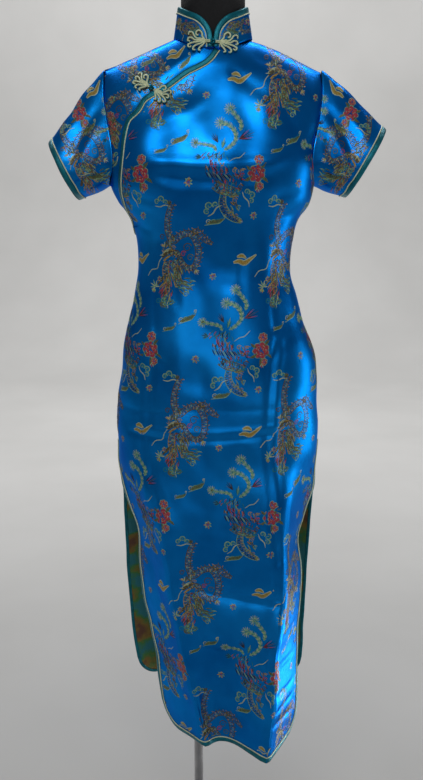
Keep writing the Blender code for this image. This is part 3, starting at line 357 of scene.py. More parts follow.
def creased(points, normals, creases, folds=(), mirror=1.0):
    """Cloth points pushed along their normals by every crease in a table, and softly rumpled."""
    push = np.zeros(points.shape[:-1])
    x, z = points[..., 0] * mirror, points[..., 2]
    for k, (x0, z0, x1, z1, width, depth) in enumerate(np.array(creases + folds) / 1000):
        length = math.hypot(x1 - x0, z1 - z0)
        way_x, way_z = (x1 - x0) / length, (z1 - z0) / length
        run = (x - x0) * way_x + (z - z0) * way_z
        off = (x - x0) * way_z - (z - z0) * way_x
        bow = CREASE_BOW * length * np.sin(math.pi * np.clip(run / length, 0.0, 1.0))
        start, stop = [smooth((inset + 0.5 * width) / (3.0 * width)) for inset in (run, length - run)]
        away = np.abs(off - bow) / width
        push += depth * start * stop * np.exp(-away ** 2 if k < len(creases) else -away)
    rng = np.random.default_rng(7)
    for size, depth in RUMPLES:
        for _ in range(12):
            angle, phase = rng.uniform(0.0, 2 * math.pi, 2)
            wave = 2 * math.pi / (size * rng.uniform(0.6, 1.6))
            push += depth * np.sin((x * math.cos(angle) + 0.7 * z * math.sin(angle)) * wave + phase)
    return points + normals * push[..., None]


for place, table in (("front", FRONT_CREASES + PRESSED_FRONT), ("back", BACK_CREASES + PRESSED_BACK),
                     ("each sleeve", SLEEVE_CREASES)):
    print("creases of the", place, len(table))

# %% [markdown]
# ## The cloth
#
# Every piece of cloth is a grid of points on its outer face. A second grid, one cloth's
# thickness further in, and a rim of faces between the two make it a real wall with an inside,
# which shows through the side slits. The wrong side of a brocade shows its loose threads in
# bands of mixed colour, so the inner face gets a finish of its own.


# %% Helper: the wall of cloth
def grid_normals(grid, side, around=False):
    """Unit normals of a grid whose columns run to +X where the side is the front."""
    padded = np.concatenate((grid[:1], grid, grid[-1:]))
    if around:
        right = np.roll(grid, -1, axis=1) - np.roll(grid, 1, axis=1)
    else:
        wide = np.concatenate((grid[:, :1], grid, grid[:, -1:]), axis=1)
        right = wide[:, 2:] - wide[:, :-2]
    return unit(np.cross(right, padded[2:] - padded[:-2]) * -side)


def grid_faces(rows, columns, around=False, start=0):
    """Quads of a grid of points that are numbered row by row from 'start'."""
    j, i = np.meshgrid(np.arange(rows - 1), np.arange(columns if around else columns - 1), indexing="ij")
    low, ahead = j * columns, (i + 1) % columns
    quads = np.stack((low + i, low + ahead, low + columns + ahead, low + columns + i), -1)
    return quads.reshape(-1, 4) + start


def make_mesh(name, points, faces, materials, places=None, node=None):
    """A smooth-shaded piece from points and faces, riding on the root, in place of its solid."""
    data = bpy.data.meshes.new(name)
    data.from_pydata(np.asarray(points).reshape(-1, 3).tolist(), [], [tuple(f) for f in faces])
    for made in materials:
        data.materials.append(made)
    if places is not None:
        data.polygons.foreach_set("material_index", np.asarray(places, np.int32))
    data.shade_smooth()
    piece = bpy.data.objects.new(name, data)
    piece.location = (DRESS_SHIFT, 0.0, DRESS_RISE)
    bpy.context.scene.collection.objects.link(piece)
    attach(piece, "root")
    if node:
        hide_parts(node)
    return piece


class Cloth:
    """A grid of points on the outer face of one piece of cloth, with its normals and its wall."""

    def __init__(self, name, grid, side, around=False, lining=reverse):
        self.name, self.grid, self.around = name, grid, around
        self.normals = grid_normals(grid, side, around)
        self.turn = -1 if side > 0 else 1
        self.faces = grid_faces(*grid.shape[:2], around)[:, ::self.turn]
        self.surface = BVHTree.FromPolygons(grid.reshape(-1, 3).tolist(), self.faces.tolist())
        self.wall(lining)

    def wall(self, lining):
        """Make the wall, from the outer face inwards, and replace the solid of the same name."""
        rows, columns = self.grid.shape[:2]
        count = rows * columns
        rim = [(k, k + 1 if k % columns < columns - 1 else k + 1 - columns)
               for k in range(columns if self.around else columns - 1)]
        rim += [(b + count - columns, a + count - columns) for a, b in rim]
        if not self.around:
            rim += [(k + columns, k) for k in range(0, count - columns, columns)]
            rim += [(k, k + columns) for k in range(columns - 1, count - columns, columns)]
        edge = [(b, a, a + count, b + count)[::self.turn] for a, b in rim]
        faces = self.faces.tolist() + (self.faces[:, ::-1] + count).tolist() + edge
        places = [0] * len(self.faces) + [1] * len(self.faces) + [0] * len(edge)
        points = np.concatenate((self.grid, self.grid - self.normals * FABRIC))
        self.piece = make_mesh(self.name, points, faces, (satin, lining), places, self.name)
        down, right = np.diff(self.grid, axis=0)[:, :-1], np.diff(self.grid, axis=1)[:-1]
        self.area = float(np.linalg.norm(np.cross(down, right), axis=-1).sum())
        print(f"{self.name}: {len(faces)} faces, {self.area:.3f} m2 of cloth")

    def nearest(self, points):
        """Nearest places on the outer face, and its normals there."""
        found = [self.surface.find_nearest(Vector(point))[:2] for point in points]
        return np.array(found).reshape(-1, 2, 3).transpose(1, 0, 2)


# %% Outlines of the pattern pieces, seen from the front
def neck_line(degrees, sign, side):
    """Places on the neckline: 0 degrees at the shoulder seam, 90 at the middle."""
    angle = np.radians(degrees)
    dip = (NECK_FRONT if side < 0 else NECK_BACK) - NECK_SIDE[1]
    return np.stack((sign * NECK_SIDE[0] * np.cos(angle), NECK_SIDE[1] + dip * np.sin(angle) ** 2), -1)


def arm_line(sign, turn):
    """Places on the armhole: turn 0 at the underarm, 1 at the shoulder tip."""
    middle, half = (UNDERARM + SHOULDER_TIP[1]) / 2, (SHOULDER_TIP[1] - UNDERARM) / 2
    height = middle - half * np.cos(math.pi * np.asarray(turn))
    minus, plus = read(ARMHOLES, height)
    return np.stack((-minus if sign < 0 else plus, height), -1)


def side_line(sign, seam, arm):
    """Side seam from the bodice's foot, then the armhole up to the shoulder."""
    height = np.linspace(BODICE_FOOT, UNDERARM, seam + 1)[:-1]
    minus, plus = read(BODY, height)[:2]
    seam_part = np.stack((-minus if sign < 0 else plus, height), -1)
    return np.concatenate((seam_part, arm_line(sign, np.linspace(0.0, 1.0, arm + 1))))


def shoulder_places(sign, across):
    """Places on the shoulder seam."""
    return np.stack((sign * across, shoulder_line(across)), -1)


def evenly(chain, count):
    """A chain of points in even steps of its own length."""
    steps = lengths(chain)
    return at_lengths(np.linspace(0.0, steps[-1], count), steps, chain)


def on_body(flat, side):
    """Lay places seen from the front on the body's surface."""
    x, z = flat[..., 0], flat[..., 1]
    depth = np.maximum(body_depth(x, z, side), 0.00015)
    return np.stack((x, side * depth, z), -1)


def opening_places(height):
    """Places on the edge of the slanted opening."""
    return np.stack((read(OPENING, height)[0] * read(BODY, height)[0], height), -1)


def opening_line(count, start=BODICE_FOOT):
    """Edge of the slanted opening up to the neck, in even steps."""
    flat = opening_places(np.linspace(start, OPENING[-1][0] / 1000, 400))
    flat[-1] = neck_line(OPENING_NECK_ANGLE, 1, -1)
    return evenly(np.concatenate((on_body(flat, -1), flat), -1), count)[:, 3:]


print("opening runs", round(lengths(on_body(opening_line(90), -1))[-1], 3), "m")

# %% Front and back panels
COLUMNS = 105
ROW_STEP = 0.0036


def hem_height(share, side):
    """Height of the hem, rounded up at both corners."""
    edge = skirt_point(np.sign(share + 1e-9), HEM, side)
    inset = np.linalg.norm(skirt_point(share, HEM, side) - edge, axis=-1)
    return HEM + CORNER - np.sqrt(CORNER ** 2 - np.maximum(CORNER - inset, 0.0) ** 2)


def web(foot, head, minus, plus):
    """Fill between four chains of places."""
    u = np.linspace(0.0, 1.0, len(foot))[None, :, None]
    v = np.linspace(0.0, 1.0, len(minus))[:, None, None]
    flat = (1 - u) * minus[:, None] + u * plus[:, None] + (1 - v) * foot + v * head
    flat -= (1 - v) * ((1 - u) * foot[0] + u * foot[-1]) + v * ((1 - u) * head[0] + u * head[-1])
    return flat


def panel_grid(side, minus, plus, head):
    """Outer face of a whole panel: rounded hem, skirt, fitted body and bodice."""
    share = np.linspace(-1.0, 1.0, COLUMNS)
    hem = hem_height(share, side)
    corner = np.maximum(HEM + CORNER, hem + 0.004)
    lower = hem + (corner - hem) * np.linspace(0.0, 1.0, 13)[:, None]
    top = np.linspace(HEM + CORNER, BODICE_FOOT, int((BODICE_FOOT - HEM - CORNER) / ROW_STEP))
    middle = np.maximum(top[1:-1, None], corner + 0.001 * np.arange(1, len(top) - 1)[:, None])
    skirt = skirt_point(share, np.concatenate((lower, middle)), side)
    level = np.full(COLUMNS, BODICE_FOOT)
    foot = np.stack((ring_across(share, level), level), -1)
    bodice = on_body(web(foot, head(share), minus, plus), side)
    return np.concatenate((skirt, bodice))


def front_head(share):
    """Neck from the opening to the shoulder, then the shoulder seam."""
    neck = neck_line(OPENING_NECK_ANGLE * np.clip(-share, 0.0, 1.0), 1, -1)
    along = NECK_SIDE[0] + (SHOULDER_TIP[0] - NECK_SIDE[0]) * np.clip(share, 0.0, 1.0)
    return np.where(share[:, None] < 0, neck, shoulder_places(1, along))


def back_head(share):
    """Shoulder seam, the back of the neck, shoulder seam."""
    part = np.abs(share) / 0.6
    sign = np.sign(share + 1e-9)
    neck = neck_line(90.0 * np.clip(1 - part, 0.0, 1.0), 1, 1)
    reach = np.clip((np.abs(share) - 0.6) / 0.4, 0.0, 1.0)
    outer = shoulder_places(1, NECK_SIDE[0] + (SHOULDER_TIP[0] - NECK_SIDE[0]) * reach)
    flat = np.where(part[:, None] < 1, neck, outer)
    return flat * np.stack((sign, np.ones_like(sign)), -1)


SEAM, ARM = 20, 66
panels = []
for name, side, minus, head, creases in (
        ("front_panel", -1, opening_line(SEAM + ARM + 1), front_head, (FRONT_CREASES, PRESSED_FRONT)),
        ("back_panel", 1, side_line(-1, SEAM, ARM), back_head, (BACK_CREASES, PRESSED_BACK))):
    flat = panel_grid(side, minus, side_line(1, SEAM, ARM), head)
    panels.append(Cloth(name, creased(flat, grid_normals(flat, side), *creases), side))
front, back = panels

# %% [markdown]
# ## The under flap, the sleeves and the collar
#
# The flap fills the shoulder that the slanted opening leaves bare, and dips under the front
# along the opening's edge. A cap sleeve is a loop of cloth drawn from the armhole to its cuff,
# and the stand collar follows the neckline, leaning in a little towards its top.

# %% Under flap
FLAP_UNDERLAP, FLAP_DROP = 0.009, 0.0034        # how far it reaches under the front, and how deep
FLAP_LEVEL, FLAP_RISE = 0.003, 0.02             # from the edge: still deep, and risen
FLAP_FALL = 0.85            # share of the height at the side that the opening's edge has
FLAP_TUCK = 0.0035          # how far the flap's foot is tucked in at the side
FLAP_FOOT, FLAP_FREE = 0.01, 0.035              # the tucked foot's height, and where the tuck ends
FLAP_NECK, FLAP_END = 88.0, 72.0                # where it ends on the neckline, above and below
FLAP_ROWS, FLAP_CROWD = 30, 1.25                # rows, set closer towards the opening


def distance_to(chain, points):
    """Shortest distance of each point from a chain of points."""
    start, way = chain[:-1], np.diff(chain, axis=0)
    flat = points.reshape(-1, 1, points.shape[-1])
    share = np.clip(((flat - start) * way).sum(-1) / np.maximum((way ** 2).sum(-1), 1e-12), 0.0, 1.0)
    gap = np.linalg.norm(flat - start - way * share[..., None], axis=-1)
    return gap.min(1).reshape(points.shape[:-1])


def flap_grid():
    """Outer face of the flap: rows from the opening's edge out to armhole, shoulder and neck."""
    fine = 5
    outer = side_line(-1, 3 * fine, 12 * fine)
    outer[0] = outer[0] + (outer[fine] - outer[0]) * 0.3
    outer = np.concatenate((
        outer, shoulder_places(-1, np.linspace(SHOULDER_TIP[0], NECK_SIDE[0], 5 * fine + 1))[1:],
        neck_line(np.linspace(0.0, FLAP_NECK, 7 * fine + 1), -1, -1)[1:]))
    matched = 11 * fine
    levels = BODICE_FOOT + (outer[:matched + 1, 1] - BODICE_FOOT) * FLAP_FALL
    edge = np.concatenate((opening_places(levels[:-1]), opening_line(len(outer) - matched, levels[-1])))
    end = edge - left_of(unit(np.gradient(edge, axis=0))) * FLAP_UNDERLAP
    settle = smooth(np.arange(len(edge)) / (2.0 * fine))[:, None]
    end = (outer + (FLAP_UNDERLAP, 0.0)) * (1 - settle) + end * settle
    last = smooth((np.arange(len(edge)) - len(edge) + 1 + 2.0 * fine) / (2.0 * fine))[:, None]
    end = end * (1 - last) + neck_line(FLAP_END, 1, -1) * last
    part = np.linspace(0.0, 1.0, FLAP_ROWS)[None, :, None] ** FLAP_CROWD
    flat = end[:, None] * (1 - part) + outer[:, None] * part
    laid = on_body(flat, -1)
    gap = distance_to(on_body(edge, -1), laid)
    gap = np.where(np.linalg.norm(flat - end[:, None], axis=-1) > FLAP_UNDERLAP, gap - FLAP_LEVEL, 0.0)
    tucked = 1 - smooth((outer[:, 1:] - BODICE_FOOT - FLAP_FOOT) / FLAP_FREE)
    drop = FLAP_DROP * np.maximum(tucked, 1 - smooth(gap / FLAP_RISE))
    laid[..., 0] += FLAP_TUCK * tucked * part[0, :, 0]
    laid, drop = laid[:, ::-1], drop[:, ::-1, None]
    return laid - grid_normals(laid, -1) * drop


flap = Cloth("under_flap", flap_grid(), -1)


# %% Sleeves
CUFFS = {                   # top x and z, foot x and z, reach front, reach back, back's outward bow
    -1: (-0.277, 1.281, -0.228, 1.186, 0.056, 0.056, 0.016),
    1: (0.2915, 1.3025, 0.226, 1.19, 0.056, 0.056, 0.014),
}
SEAM_GAP = 0.0003
SLEEVE_CROWN = 0.003


def sleeve_grid(sign, around=112, along=34):
    """Outer face of a sleeve: rows from the armhole out to the cuff, columns round the arm."""
    turn = np.arange(around) * 2.0 / around
    flat = arm_line(sign, turn)
    start = np.where(turn[:, None] <= 1, on_body(flat, -1), on_body(flat, 1))
    top_x, top_z, foot_x, foot_z, front_reach, back_reach, back_out = CUFFS[sign]
    centre = np.array(((top_x + foot_x) / 2, 0.0, (top_z + foot_z) / 2))
    half = np.array(((top_x - foot_x) / 2, 0.0, (top_z - foot_z) / 2))
    away = np.array((half[2], 0.0, -half[0])) / np.linalg.norm(half) * sign
    angle = (math.pi * turn)[:, None]
    reach = np.where(turn <= 1, front_reach, back_reach)[:, None]
    end = centre - half * np.cos(angle) - np.array((0.0, 1.0, 0.0)) * reach * np.sin(angle)
    end = end + away * back_out * np.maximum(-np.sin(angle), 0.0)
    share = np.linspace(0.0, 1.0, along)[:, None, None]
    crown = SLEEVE_CROWN * 4 * share * (1 - share) * smooth(-np.cos(angle))
    grid = start + (end - start) * share + away * SEAM_GAP * 1.5 * (1 - share)
    return grid + crown * np.array((0.0, 0.0, 1.0))


sleeves = {}
for word, sign in (("right", -1), ("left", 1)):
    grid = sleeve_grid(sign)
    grid = creased(grid, grid_normals(grid, sign, True), SLEEVE_CREASES, mirror=-sign)
    sleeves[sign] = Cloth("sleeve_" + word, grid, sign, around=True)

# %% Collar
COLLAR_HEIGHT, COLLAR_FRONT, COLLAR_ROUND = 0.049, 0.014, 0.035
COLLAR_LEAN_X, COLLAR_LEAN_Y, COLLAR_SPLIT = 0.885, 0.92, 0.0014


def collar_grid(rows=15):
    """Outer face of the collar, round the neck from its right front end to its left one."""
    front_part = on_body(neck_line(np.linspace(90.0, 0.0, 60), -1, -1), -1)
    back_part = on_body(neck_line(np.linspace(6.0, 90.0, 50), -1, 1), 1)
    half = np.concatenate((front_part, back_part))
    half[0, 0], half[-1, 0] = -COLLAR_SPLIT, 0.0
    base = evenly(np.concatenate((half, half[-2::-1] * (-1.0, 1.0, 1.0))), 181)
    runs = lengths(base)
    left = 1 - np.minimum(np.minimum(runs, runs[-1] - runs) / COLLAR_ROUND, 1.0)
    tall = COLLAR_FRONT + (COLLAR_HEIGHT - COLLAR_FRONT) * np.sqrt(1 - left ** 2)
    tall = tall * np.linspace(0.0, 1.0, rows)[:, None] / COLLAR_HEIGHT
    lean = np.stack((1 - (1 - COLLAR_LEAN_X) * tall, 1 - (1 - COLLAR_LEAN_Y) * tall), -1)
    height = base[:, 2:] + 1.5 * SEAM_GAP + tall[..., None] * COLLAR_HEIGHT
    grid = np.concatenate((base[:, :2] * lean, height), -1)
    grid[:, 0, 0], grid[:, -1, 0] = -COLLAR_SPLIT, COLLAR_SPLIT
    return grid


collar = Cloth("collar", collar_grid(), 1, lining=teal)

# %% [markdown]
# ## Bindings and pipings
#
# Every free edge is wrapped in a narrow bias strip of teal satin, with a round cream cord
# sewn along its inner side. A strip follows the edge of the finished cloth: from each point of
# the edge it steps inwards over the cloth, keeps to its surface, and turns round the edge to
# the inside. The section is drawn once and lofted along the whole edge.

# %% Helper: walk inwards from an edge of the cloth
BINDING_WIDTH = 0.0075
BINDING_THICK = 0.0007
PIPING_RADIUS, PIPING_OUT, PIPING_UP = 0.001, 0.0014, 0.0009    # beside the binding, off the cloth
TRIM_STEP = 0.0035
PUCKERS = (0.00012, 410.0, 0.0), (0.0001, 173.0, 1.3)           # depth, waves, phase


def edge_walk(cloth, cells, inward_cells, distances, short=0.0):
    """Places, normals and inward ways on an edge and at some distances inwards from it."""
    points, normals, ahead = [np.array([grid[c] for c in spots]) for grid, spots in (
        (cloth.grid, cells), (cloth.normals, cells), (cloth.grid, inward_cells))]
    chains = [points, normals, ahead - points]
    if cloth.around:
        chains = [np.concatenate((chain, chain[:1])) for chain in chains]
    steps = lengths(chains[0])
    wanted = np.linspace(short, steps[-1] - short, int((steps[-1] - 2 * short) / TRIM_STEP))
    points, normals, inner = [at_lengths(wanted, steps, chain) for chain in chains]
    if cloth.around:
        points, normals, inner = points[:-1], normals[:-1], inner[:-1]
        run = np.roll(points, -1, axis=0) - np.roll(points, 1, axis=0)
    else:
        run = np.gradient(points, axis=0)
    way = np.cross(normals, run)
    way *= np.sign((way * inner).sum(-1, keepdims=True))
    rows, here, at = [(points, normals, unit(way))], points, 0.0
    for distance in distances:
        way = rows[-1][2]
        (here, up), at = cloth.nearest(here + way * (distance - at)), distance
        rows.append((here, up, unit(way - up * (way * up).sum(-1, keepdims=True))))
    return rows


def loft(name, loops, made, around):
    """A closed shell through loops of points, its ends closed unless it runs around, facing out."""
    loops = np.stack(loops, 1)
    count, corners = loops.shape[:2]
    faces = (grid_faces(count + around, corners, True) % (count * corners)).tolist()
    if not around:
        faces += [range(corners)[::-1], range((count - 1) * corners, count * corners)]
    piece = make_mesh(name, loops, faces, (made,), node=name)
    shell = bmesh.new()
    shell.from_mesh(piece.data)
    if shell.calc_volume(signed=True) < 0:
        piece.data.flip_normals()
    shell.free()
    return piece


def trim(name, cloth, cells, inward_cells, short=0.0):
    """The binding round an edge of the cloth and the piping along its inner side."""
    width, thick = BINDING_WIDTH, BINDING_THICK
    rows = edge_walk(cloth, cells, inward_cells, (0.001, 0.0028, 0.005, width, width + PIPING_OUT), short)
    (edge, up, way), first, second, third, last, beside = rows
    along = np.arange(len(edge)) * TRIM_STEP
    pucker = sum(depth * np.sin(along * wave + phase) for depth, wave, phase in PUCKERS)[:, None]

    def lifted(row, lift):
        return row[0] + row[1] * lift

    outer = [last[0], lifted(last, 0.6 * thick), lifted(third, thick + pucker),
             lifted(second, 1.1 * thick + pucker), lifted(first, thick)]
    turn = [edge + up * 0.0003 - way * 0.0008, edge - up * (0.5 * FABRIC) - way * 0.0011,
            edge - up * (FABRIC + 0.0003) - way * 0.0008]
    inner = [lifted(first, -FABRIC - 0.8 * thick), lifted(second, -FABRIC - 0.8 * thick),
             lifted(third, -FABRIC - 0.5 * thick), lifted(third, -0.5 * FABRIC)]
    band = loft(name + "_binding", outer + turn + inner, teal, cloth.around)
    place, up, way = beside
    cord = [place + up * (PIPING_UP + PIPING_RADIUS * math.sin(angle)) + way * PIPING_RADIUS * math.cos(angle)
            for angle in 2 * math.pi * np.arange(8) / 8]
    line = loft(name + "_piping", cord, cream, cloth.around)
    print(f"{name}: {len(edge)} stations")
    return [band, line]


# %% Trim of the hems, the opening, the cuffs and the collar
def edge_cells(rows, end, last, side_step, end_step):
    """Cells along one side of a grid, its end row and its other side, and cells inside them."""
    cells = [(j, 0) for j in rows] + [(end, i) for i in range(last + 1)] + [(j, last) for j in rows[::-1]]
    inner = [(j, side_step) for j in rows]
    inner += [(end + end_step, min(max(i, 3), last - 3)) for i in range(last + 1)]
    return cells, inner + [(j, last - side_step) for j in rows[::-1]]


def hem_cells(cloth):
    """Cells down one slit edge, round the hem and up the other."""
    rows = int((cloth.grid[:, 0, 2] <= SLIT_TOP + 0.001).sum())
    return edge_cells(range(rows, 0, -1), 0, cloth.grid.shape[1] - 1, 2, 3)


bodice_rows = range(len(front.grid) - SEAM - ARM - 1, len(front.grid))
trims = {
    "front_panel": trim("front_hem", front, *hem_cells(front)),
    "back_panel": trim("back_hem", back, *hem_cells(back)),
}
trims["front_panel"] += trim("opening", front, *([(j, i) for j in bodice_rows] for i in (0, 2)))
for word, sign in (("right", -1), ("left", 1)):
    rows, columns = sleeves[sign].grid.shape[:2]
    cuff = ([(rows - k, i) for i in range(columns)] for k in (1, 3))
    trims["sleeve_" + word] = trim("cuff_" + word, sleeves[sign], *cuff)
top, last = len(collar.grid) - 1, collar.grid.shape[1] - 1
trims["collar"] = trim("collar", collar, *edge_cells(range(top), top, last, 3, -3), short=0.0014)

# %% [markdown]
# ## Frog fastenings
#
# A frog is a pair of flowers bent from satin cord and sewn flat, joined by a knot button in
# a loop. Each flower here is a spray of curled prongs that fan out from the knot: a cream cord
# with a thin teal one beside it. The knot is a cord tied into a small round knot, which a
# trefoil curve gives in one line.

# %% Helper: round cords
FROG_CLEAR = 0.0034         # how far the frogs' cords lie off the body
KNOT_RADIUS = 0.00125
CORD_RADIUS, THIN_RADIUS, CORD_BESIDE = 0.0015, 0.0008, 0.0018     # a flower's two cords


def through(points, count):
    """A smooth line through given points."""
    points = np.asarray(points, float)
    padded = np.concatenate((2 * points[:1] - points[1:2], points, 2 * points[-1:] - points[-2:-1]))
    place = np.linspace(0.0, len(points) - 1 - 1e-9, count)
    k = place.astype(int)
    t = (place - k)[:, None]
    a, b, c, d = padded[k], padded[k + 1], padded[k + 2], padded[k + 3]
    square, cube = 2 * a - 5 * b + 4 * c - d, 3 * b - a - 3 * c + d
    return 0.5 * (2 * b + (c - a) * t + square * t ** 2 + cube * t ** 3)


def cord_mesh(path, radius, sides=8, closed=False):
    """Points and faces of a round cord along a path."""
    path = np.asarray(path)
    run = unit(np.roll(path, -1, axis=0) - np.roll(path, 1, axis=0) if closed else np.gradient(path, axis=0))
    wide = unit(np.cross(run, (0.0, -1.0, 0.001)))
    deep = np.cross(wide, run)
    radius = np.broadcast_to(radius, len(path))[:, None, None]
    angle = (2 * math.pi * np.arange(sides) / sides)[None, :, None]
    points = path[:, None] + radius * (wide[:, None] * np.cos(angle) + deep[:, None] * np.sin(angle))
    count = len(path) * sides
    faces = (grid_faces(len(path) + closed, sides, True)[:, ::-1] % count).tolist()
    if not closed:
        faces += [range(sides), range(count - 1, count - sides - 1, -1)]
    return points.reshape(-1, 3), faces


def join_cords(name, cords):
    """One piece from several cords: (path, radius, material's place, closed)."""
    points, faces, places, start = [], [], [], 0
    for path, radius, spot, closed in cords:
        more, around = cord_mesh(path, radius, closed=closed)
        points.append(more)
        faces += [tuple(k + start for k in face) for face in around]
        places += [spot] * len(around)
        start += len(more)
    make_mesh(name, np.concatenate(points), faces, (cream, teal), places, name)


def chest(across, height, lift):
    """Points a little in front of the collar or of the body below it."""
    across, height = np.asarray(across, float), np.asarray(height, float)
    lean = np.ones_like(across)
    for _ in range(4):
        share = np.minimum(np.abs(across) / (NECK_SIDE[0] * lean), 1.0)
        base = neck_line(np.degrees(np.arccos(share)), 1, -1)
        tall = np.maximum(height - base[..., 1], 0.0) / COLLAR_HEIGHT
        lean = 1 - (1 - COLLAR_LEAN_X) * tall
    low = np.where(tall > 0, base[..., 0], across)
    depth = body_depth(low, np.where(tall > 0, base[..., 1], height), -1)
    depth = depth * (1 - (1 - COLLAR_LEAN_Y) * tall)
    return np.stack((across, -depth - lift, height), -1)


# %% Frogs
# prongs of a flower: +x points away from the knot, in shares of the flower's size
PRONGS = (
    ((-0.95, 0.05), (-0.62, 0.4), (-0.52, 0.8), (-0.22, 1.05), (0.08, 0.9), (0.06, 0.58), (-0.16, 0.56)),
    ((-0.95, 0.03), (-0.45, 0.2), (-0.02, 0.2), (0.28, 0.48), (0.5, 0.84), (0.86, 0.86), (0.92, 0.58)),
    ((-0.95, 0.0), (-0.4, 0.04), (0.15, 0.02), (0.52, 0.26), (0.86, 0.26), (0.96, 0.0), (0.72, -0.08)),
    ((-0.95, -0.02), (-0.35, -0.12), (0.2, -0.2), (0.6, -0.3), (0.9, -0.52), (0.74, -0.74), (0.52, -0.6)),
    ((-0.95, -0.05), (-0.5, -0.3), (-0.05, -0.46), (0.26, -0.7), (0.3, -1.0), (0.04, -1.02)),
    ((-0.95, -0.08), (-0.74, -0.42), (-0.48, -0.66), (-0.3, -0.98), (-0.52, -1.06)),
)
FROGS = (                   # name, right flower's x and z, left flower's x and z, size
    ("collar_frog", -0.0265, 1.436, 0.0255, 1.432, 0.016),
    ("opening_frog", -0.115, 1.371, -0.0815, 1.35, 0.0135),
)


def flower(name, centre, away, size):
    """A sewn spray of curled cords whose prongs fan out from the knot's side."""
    square = left_of(away)
    if square[1] < 0:
        square = -square
    cords, along = [], np.linspace(0, 1, 26)
    for rank, prong in enumerate(PRONGS):
        line = through(prong, len(along))
        beside = line + left_of(unit(np.gradient(line, axis=0))) * (CORD_BESIDE / size)
        for path, radius, spot in ((line, CORD_RADIUS, 0), (beside, THIN_RADIUS, 1)):
            flat = centre + (path[:, :1] * away + path[:, 1:] * square) * size * 0.93
            lift = FROG_CLEAR - 0.0006 + 0.0007 * np.sin(math.pi * along) + 0.0002 * rank
            cords.append((chest(*flat.T, lift), radius * (1 - 0.25 * along ** 4), spot, False))
    join_cords(name, cords)


def knot(name, start, end):
    """A round knot button in its loop, with the cords that run to both flowers."""
    middle, run = (start + end) / 2, unit(end - start)
    t = np.linspace(0.0, 2 * math.pi, 72, endpoint=False)[:, None]
    ring = KNOT_RADIUS * (2.0 + np.cos(3 * t))
    flat = middle + ring * np.cos(2 * t) * run + ring * np.sin(2 * t) * left_of(run)
    ball = chest(*flat.T, FROG_CLEAR + 0.0016 + 0.0012 * np.sin(3 * t[:, 0]))
    cords = [(ball, 0.00115, 1, True)]
    for offset, spot in ((0.0011, 0), (-0.0011, 0)):
        for a, b in ((start, middle - run * 0.003), (middle + run * 0.003, end)):
            line = a + (b - a) * np.linspace(-0.12, 1.0, 12)[:, None] + left_of(run) * offset
            cords.append((chest(*line.T, FROG_CLEAR + 0.0002), 0.001, spot, False))
    join_cords(name, cords)


for name, right_x, right_z, left_x, left_z, size in FROGS:
    right, left = np.array((right_x, right_z)), np.array((left_x, left_z))
    run = unit(left - right)
    flower(name + "_right", right, -run, size)
    flower(name + "_left", left, run, size)
    knot(name + "_knot", right + run * size * 0.8, left - run * size * 0.8)
print("frogs tied:", len(FROGS))

# %% [markdown]
# ## Dress form and stand
#
# The form is a limbless torso in black jersey, pulled tight. Its solid has the right shape
# but flat facets, so the same sections are lofted again with many more points. The pole, the
# plate, the cap and the base are turned metal: their solids stay, and only get finishes.

# %% Form
FORM = (                    # height and half width
    (768, 154), (830, 158), (905, 151), (980, 134), (1061, 117), (1150, 126), (1207, 139), (1270, 146),
    (1340, 152), (1380, 154),
)
NECK_RADIUS, NECK_CENTRE, NECK_START, NECK_FULL, NECK_TOP = 0.053, 0.001, 1.427, 1.452, 1.528
FORM_EASE, FORM_SHOULDER_EASE, FORM_END, FORM_FOOT = 0.0085, 0.0056, 8.0, 0.768


def form_width(height):
    """Half width of the form: its table, the slope of the shoulders, then the neck."""
    slope = (NECK_SIDE[1] - SHOULDER_TIP[1]) / (SHOULDER_TIP[0] - NECK_SIDE[0])
    sloped = NECK_SIDE[0] + (NECK_SIDE[1] - height) / slope - FORM_SHOULDER_EASE / math.sin(math.atan(slope))
    return np.maximum(np.minimum(read(FORM, height)[0], sloped), NECK_RADIUS)


def form_face(side, rows, columns=49):
    """Front or back of the form as a grid."""
    height, share = np.meshgrid(rows, np.linspace(-1.0, 1.0, columns), indexing="ij")
    width = form_width(height)
    across = width * np.sin(share * math.pi / 2)
    body = np.maximum(body_depth(across, height, side) - FORM_EASE, 0.0)
    round_neck = np.sqrt(np.maximum(NECK_RADIUS ** 2 - across ** 2, 0.0)) + side * NECK_CENTRE
    depth = body + (round_neck - body) * smooth((height - NECK_START) / (NECK_FULL - NECK_START))
    depth = depth * np.maximum(1 - np.abs(across / width) ** FORM_END, 0.0) ** (1 / FORM_END)
    return np.stack((across, side * np.maximum(depth, 0.0), height), -1)


levels = np.concatenate((np.linspace(FORM_FOOT, 1.36, 84), np.linspace(1.365, 1.47, 40), (1.49, NECK_TOP)))
loops = np.concatenate((form_face(-1, levels), form_face(1, levels)[:, -2:0:-1]), axis=1)
rows, columns = loops.shape[:2]
faces = grid_faces(rows, columns, around=True).tolist()
faces += [range(columns)[::-1], range((rows - 1) * columns, rows * columns)]
form = make_mesh("form_jersey", loops, faces, (jersey,), node="form_torso")
print("form:", len(faces), "faces")

# %% Stand
steel = finish("brushed_steel", (0.48, 0.48, 0.49), (0.36, 0.36, 0.37), 0.28, 1.0,
               grain=40.0, weave=240.0, bump=0.06)
paint = finish("black_paint_finish", (0.034, 0.034, 0.036), (0.02, 0.02, 0.022), 0.48, 0.0,
               grain=90.0, weave=60.0, bump=0.05)
for name, made in (("pole", steel), ("base", paint), ("form_plate", paint), ("form_cap", paint)):
    for spot in bpy.data.objects[name].material_slots:
        spot.material = made

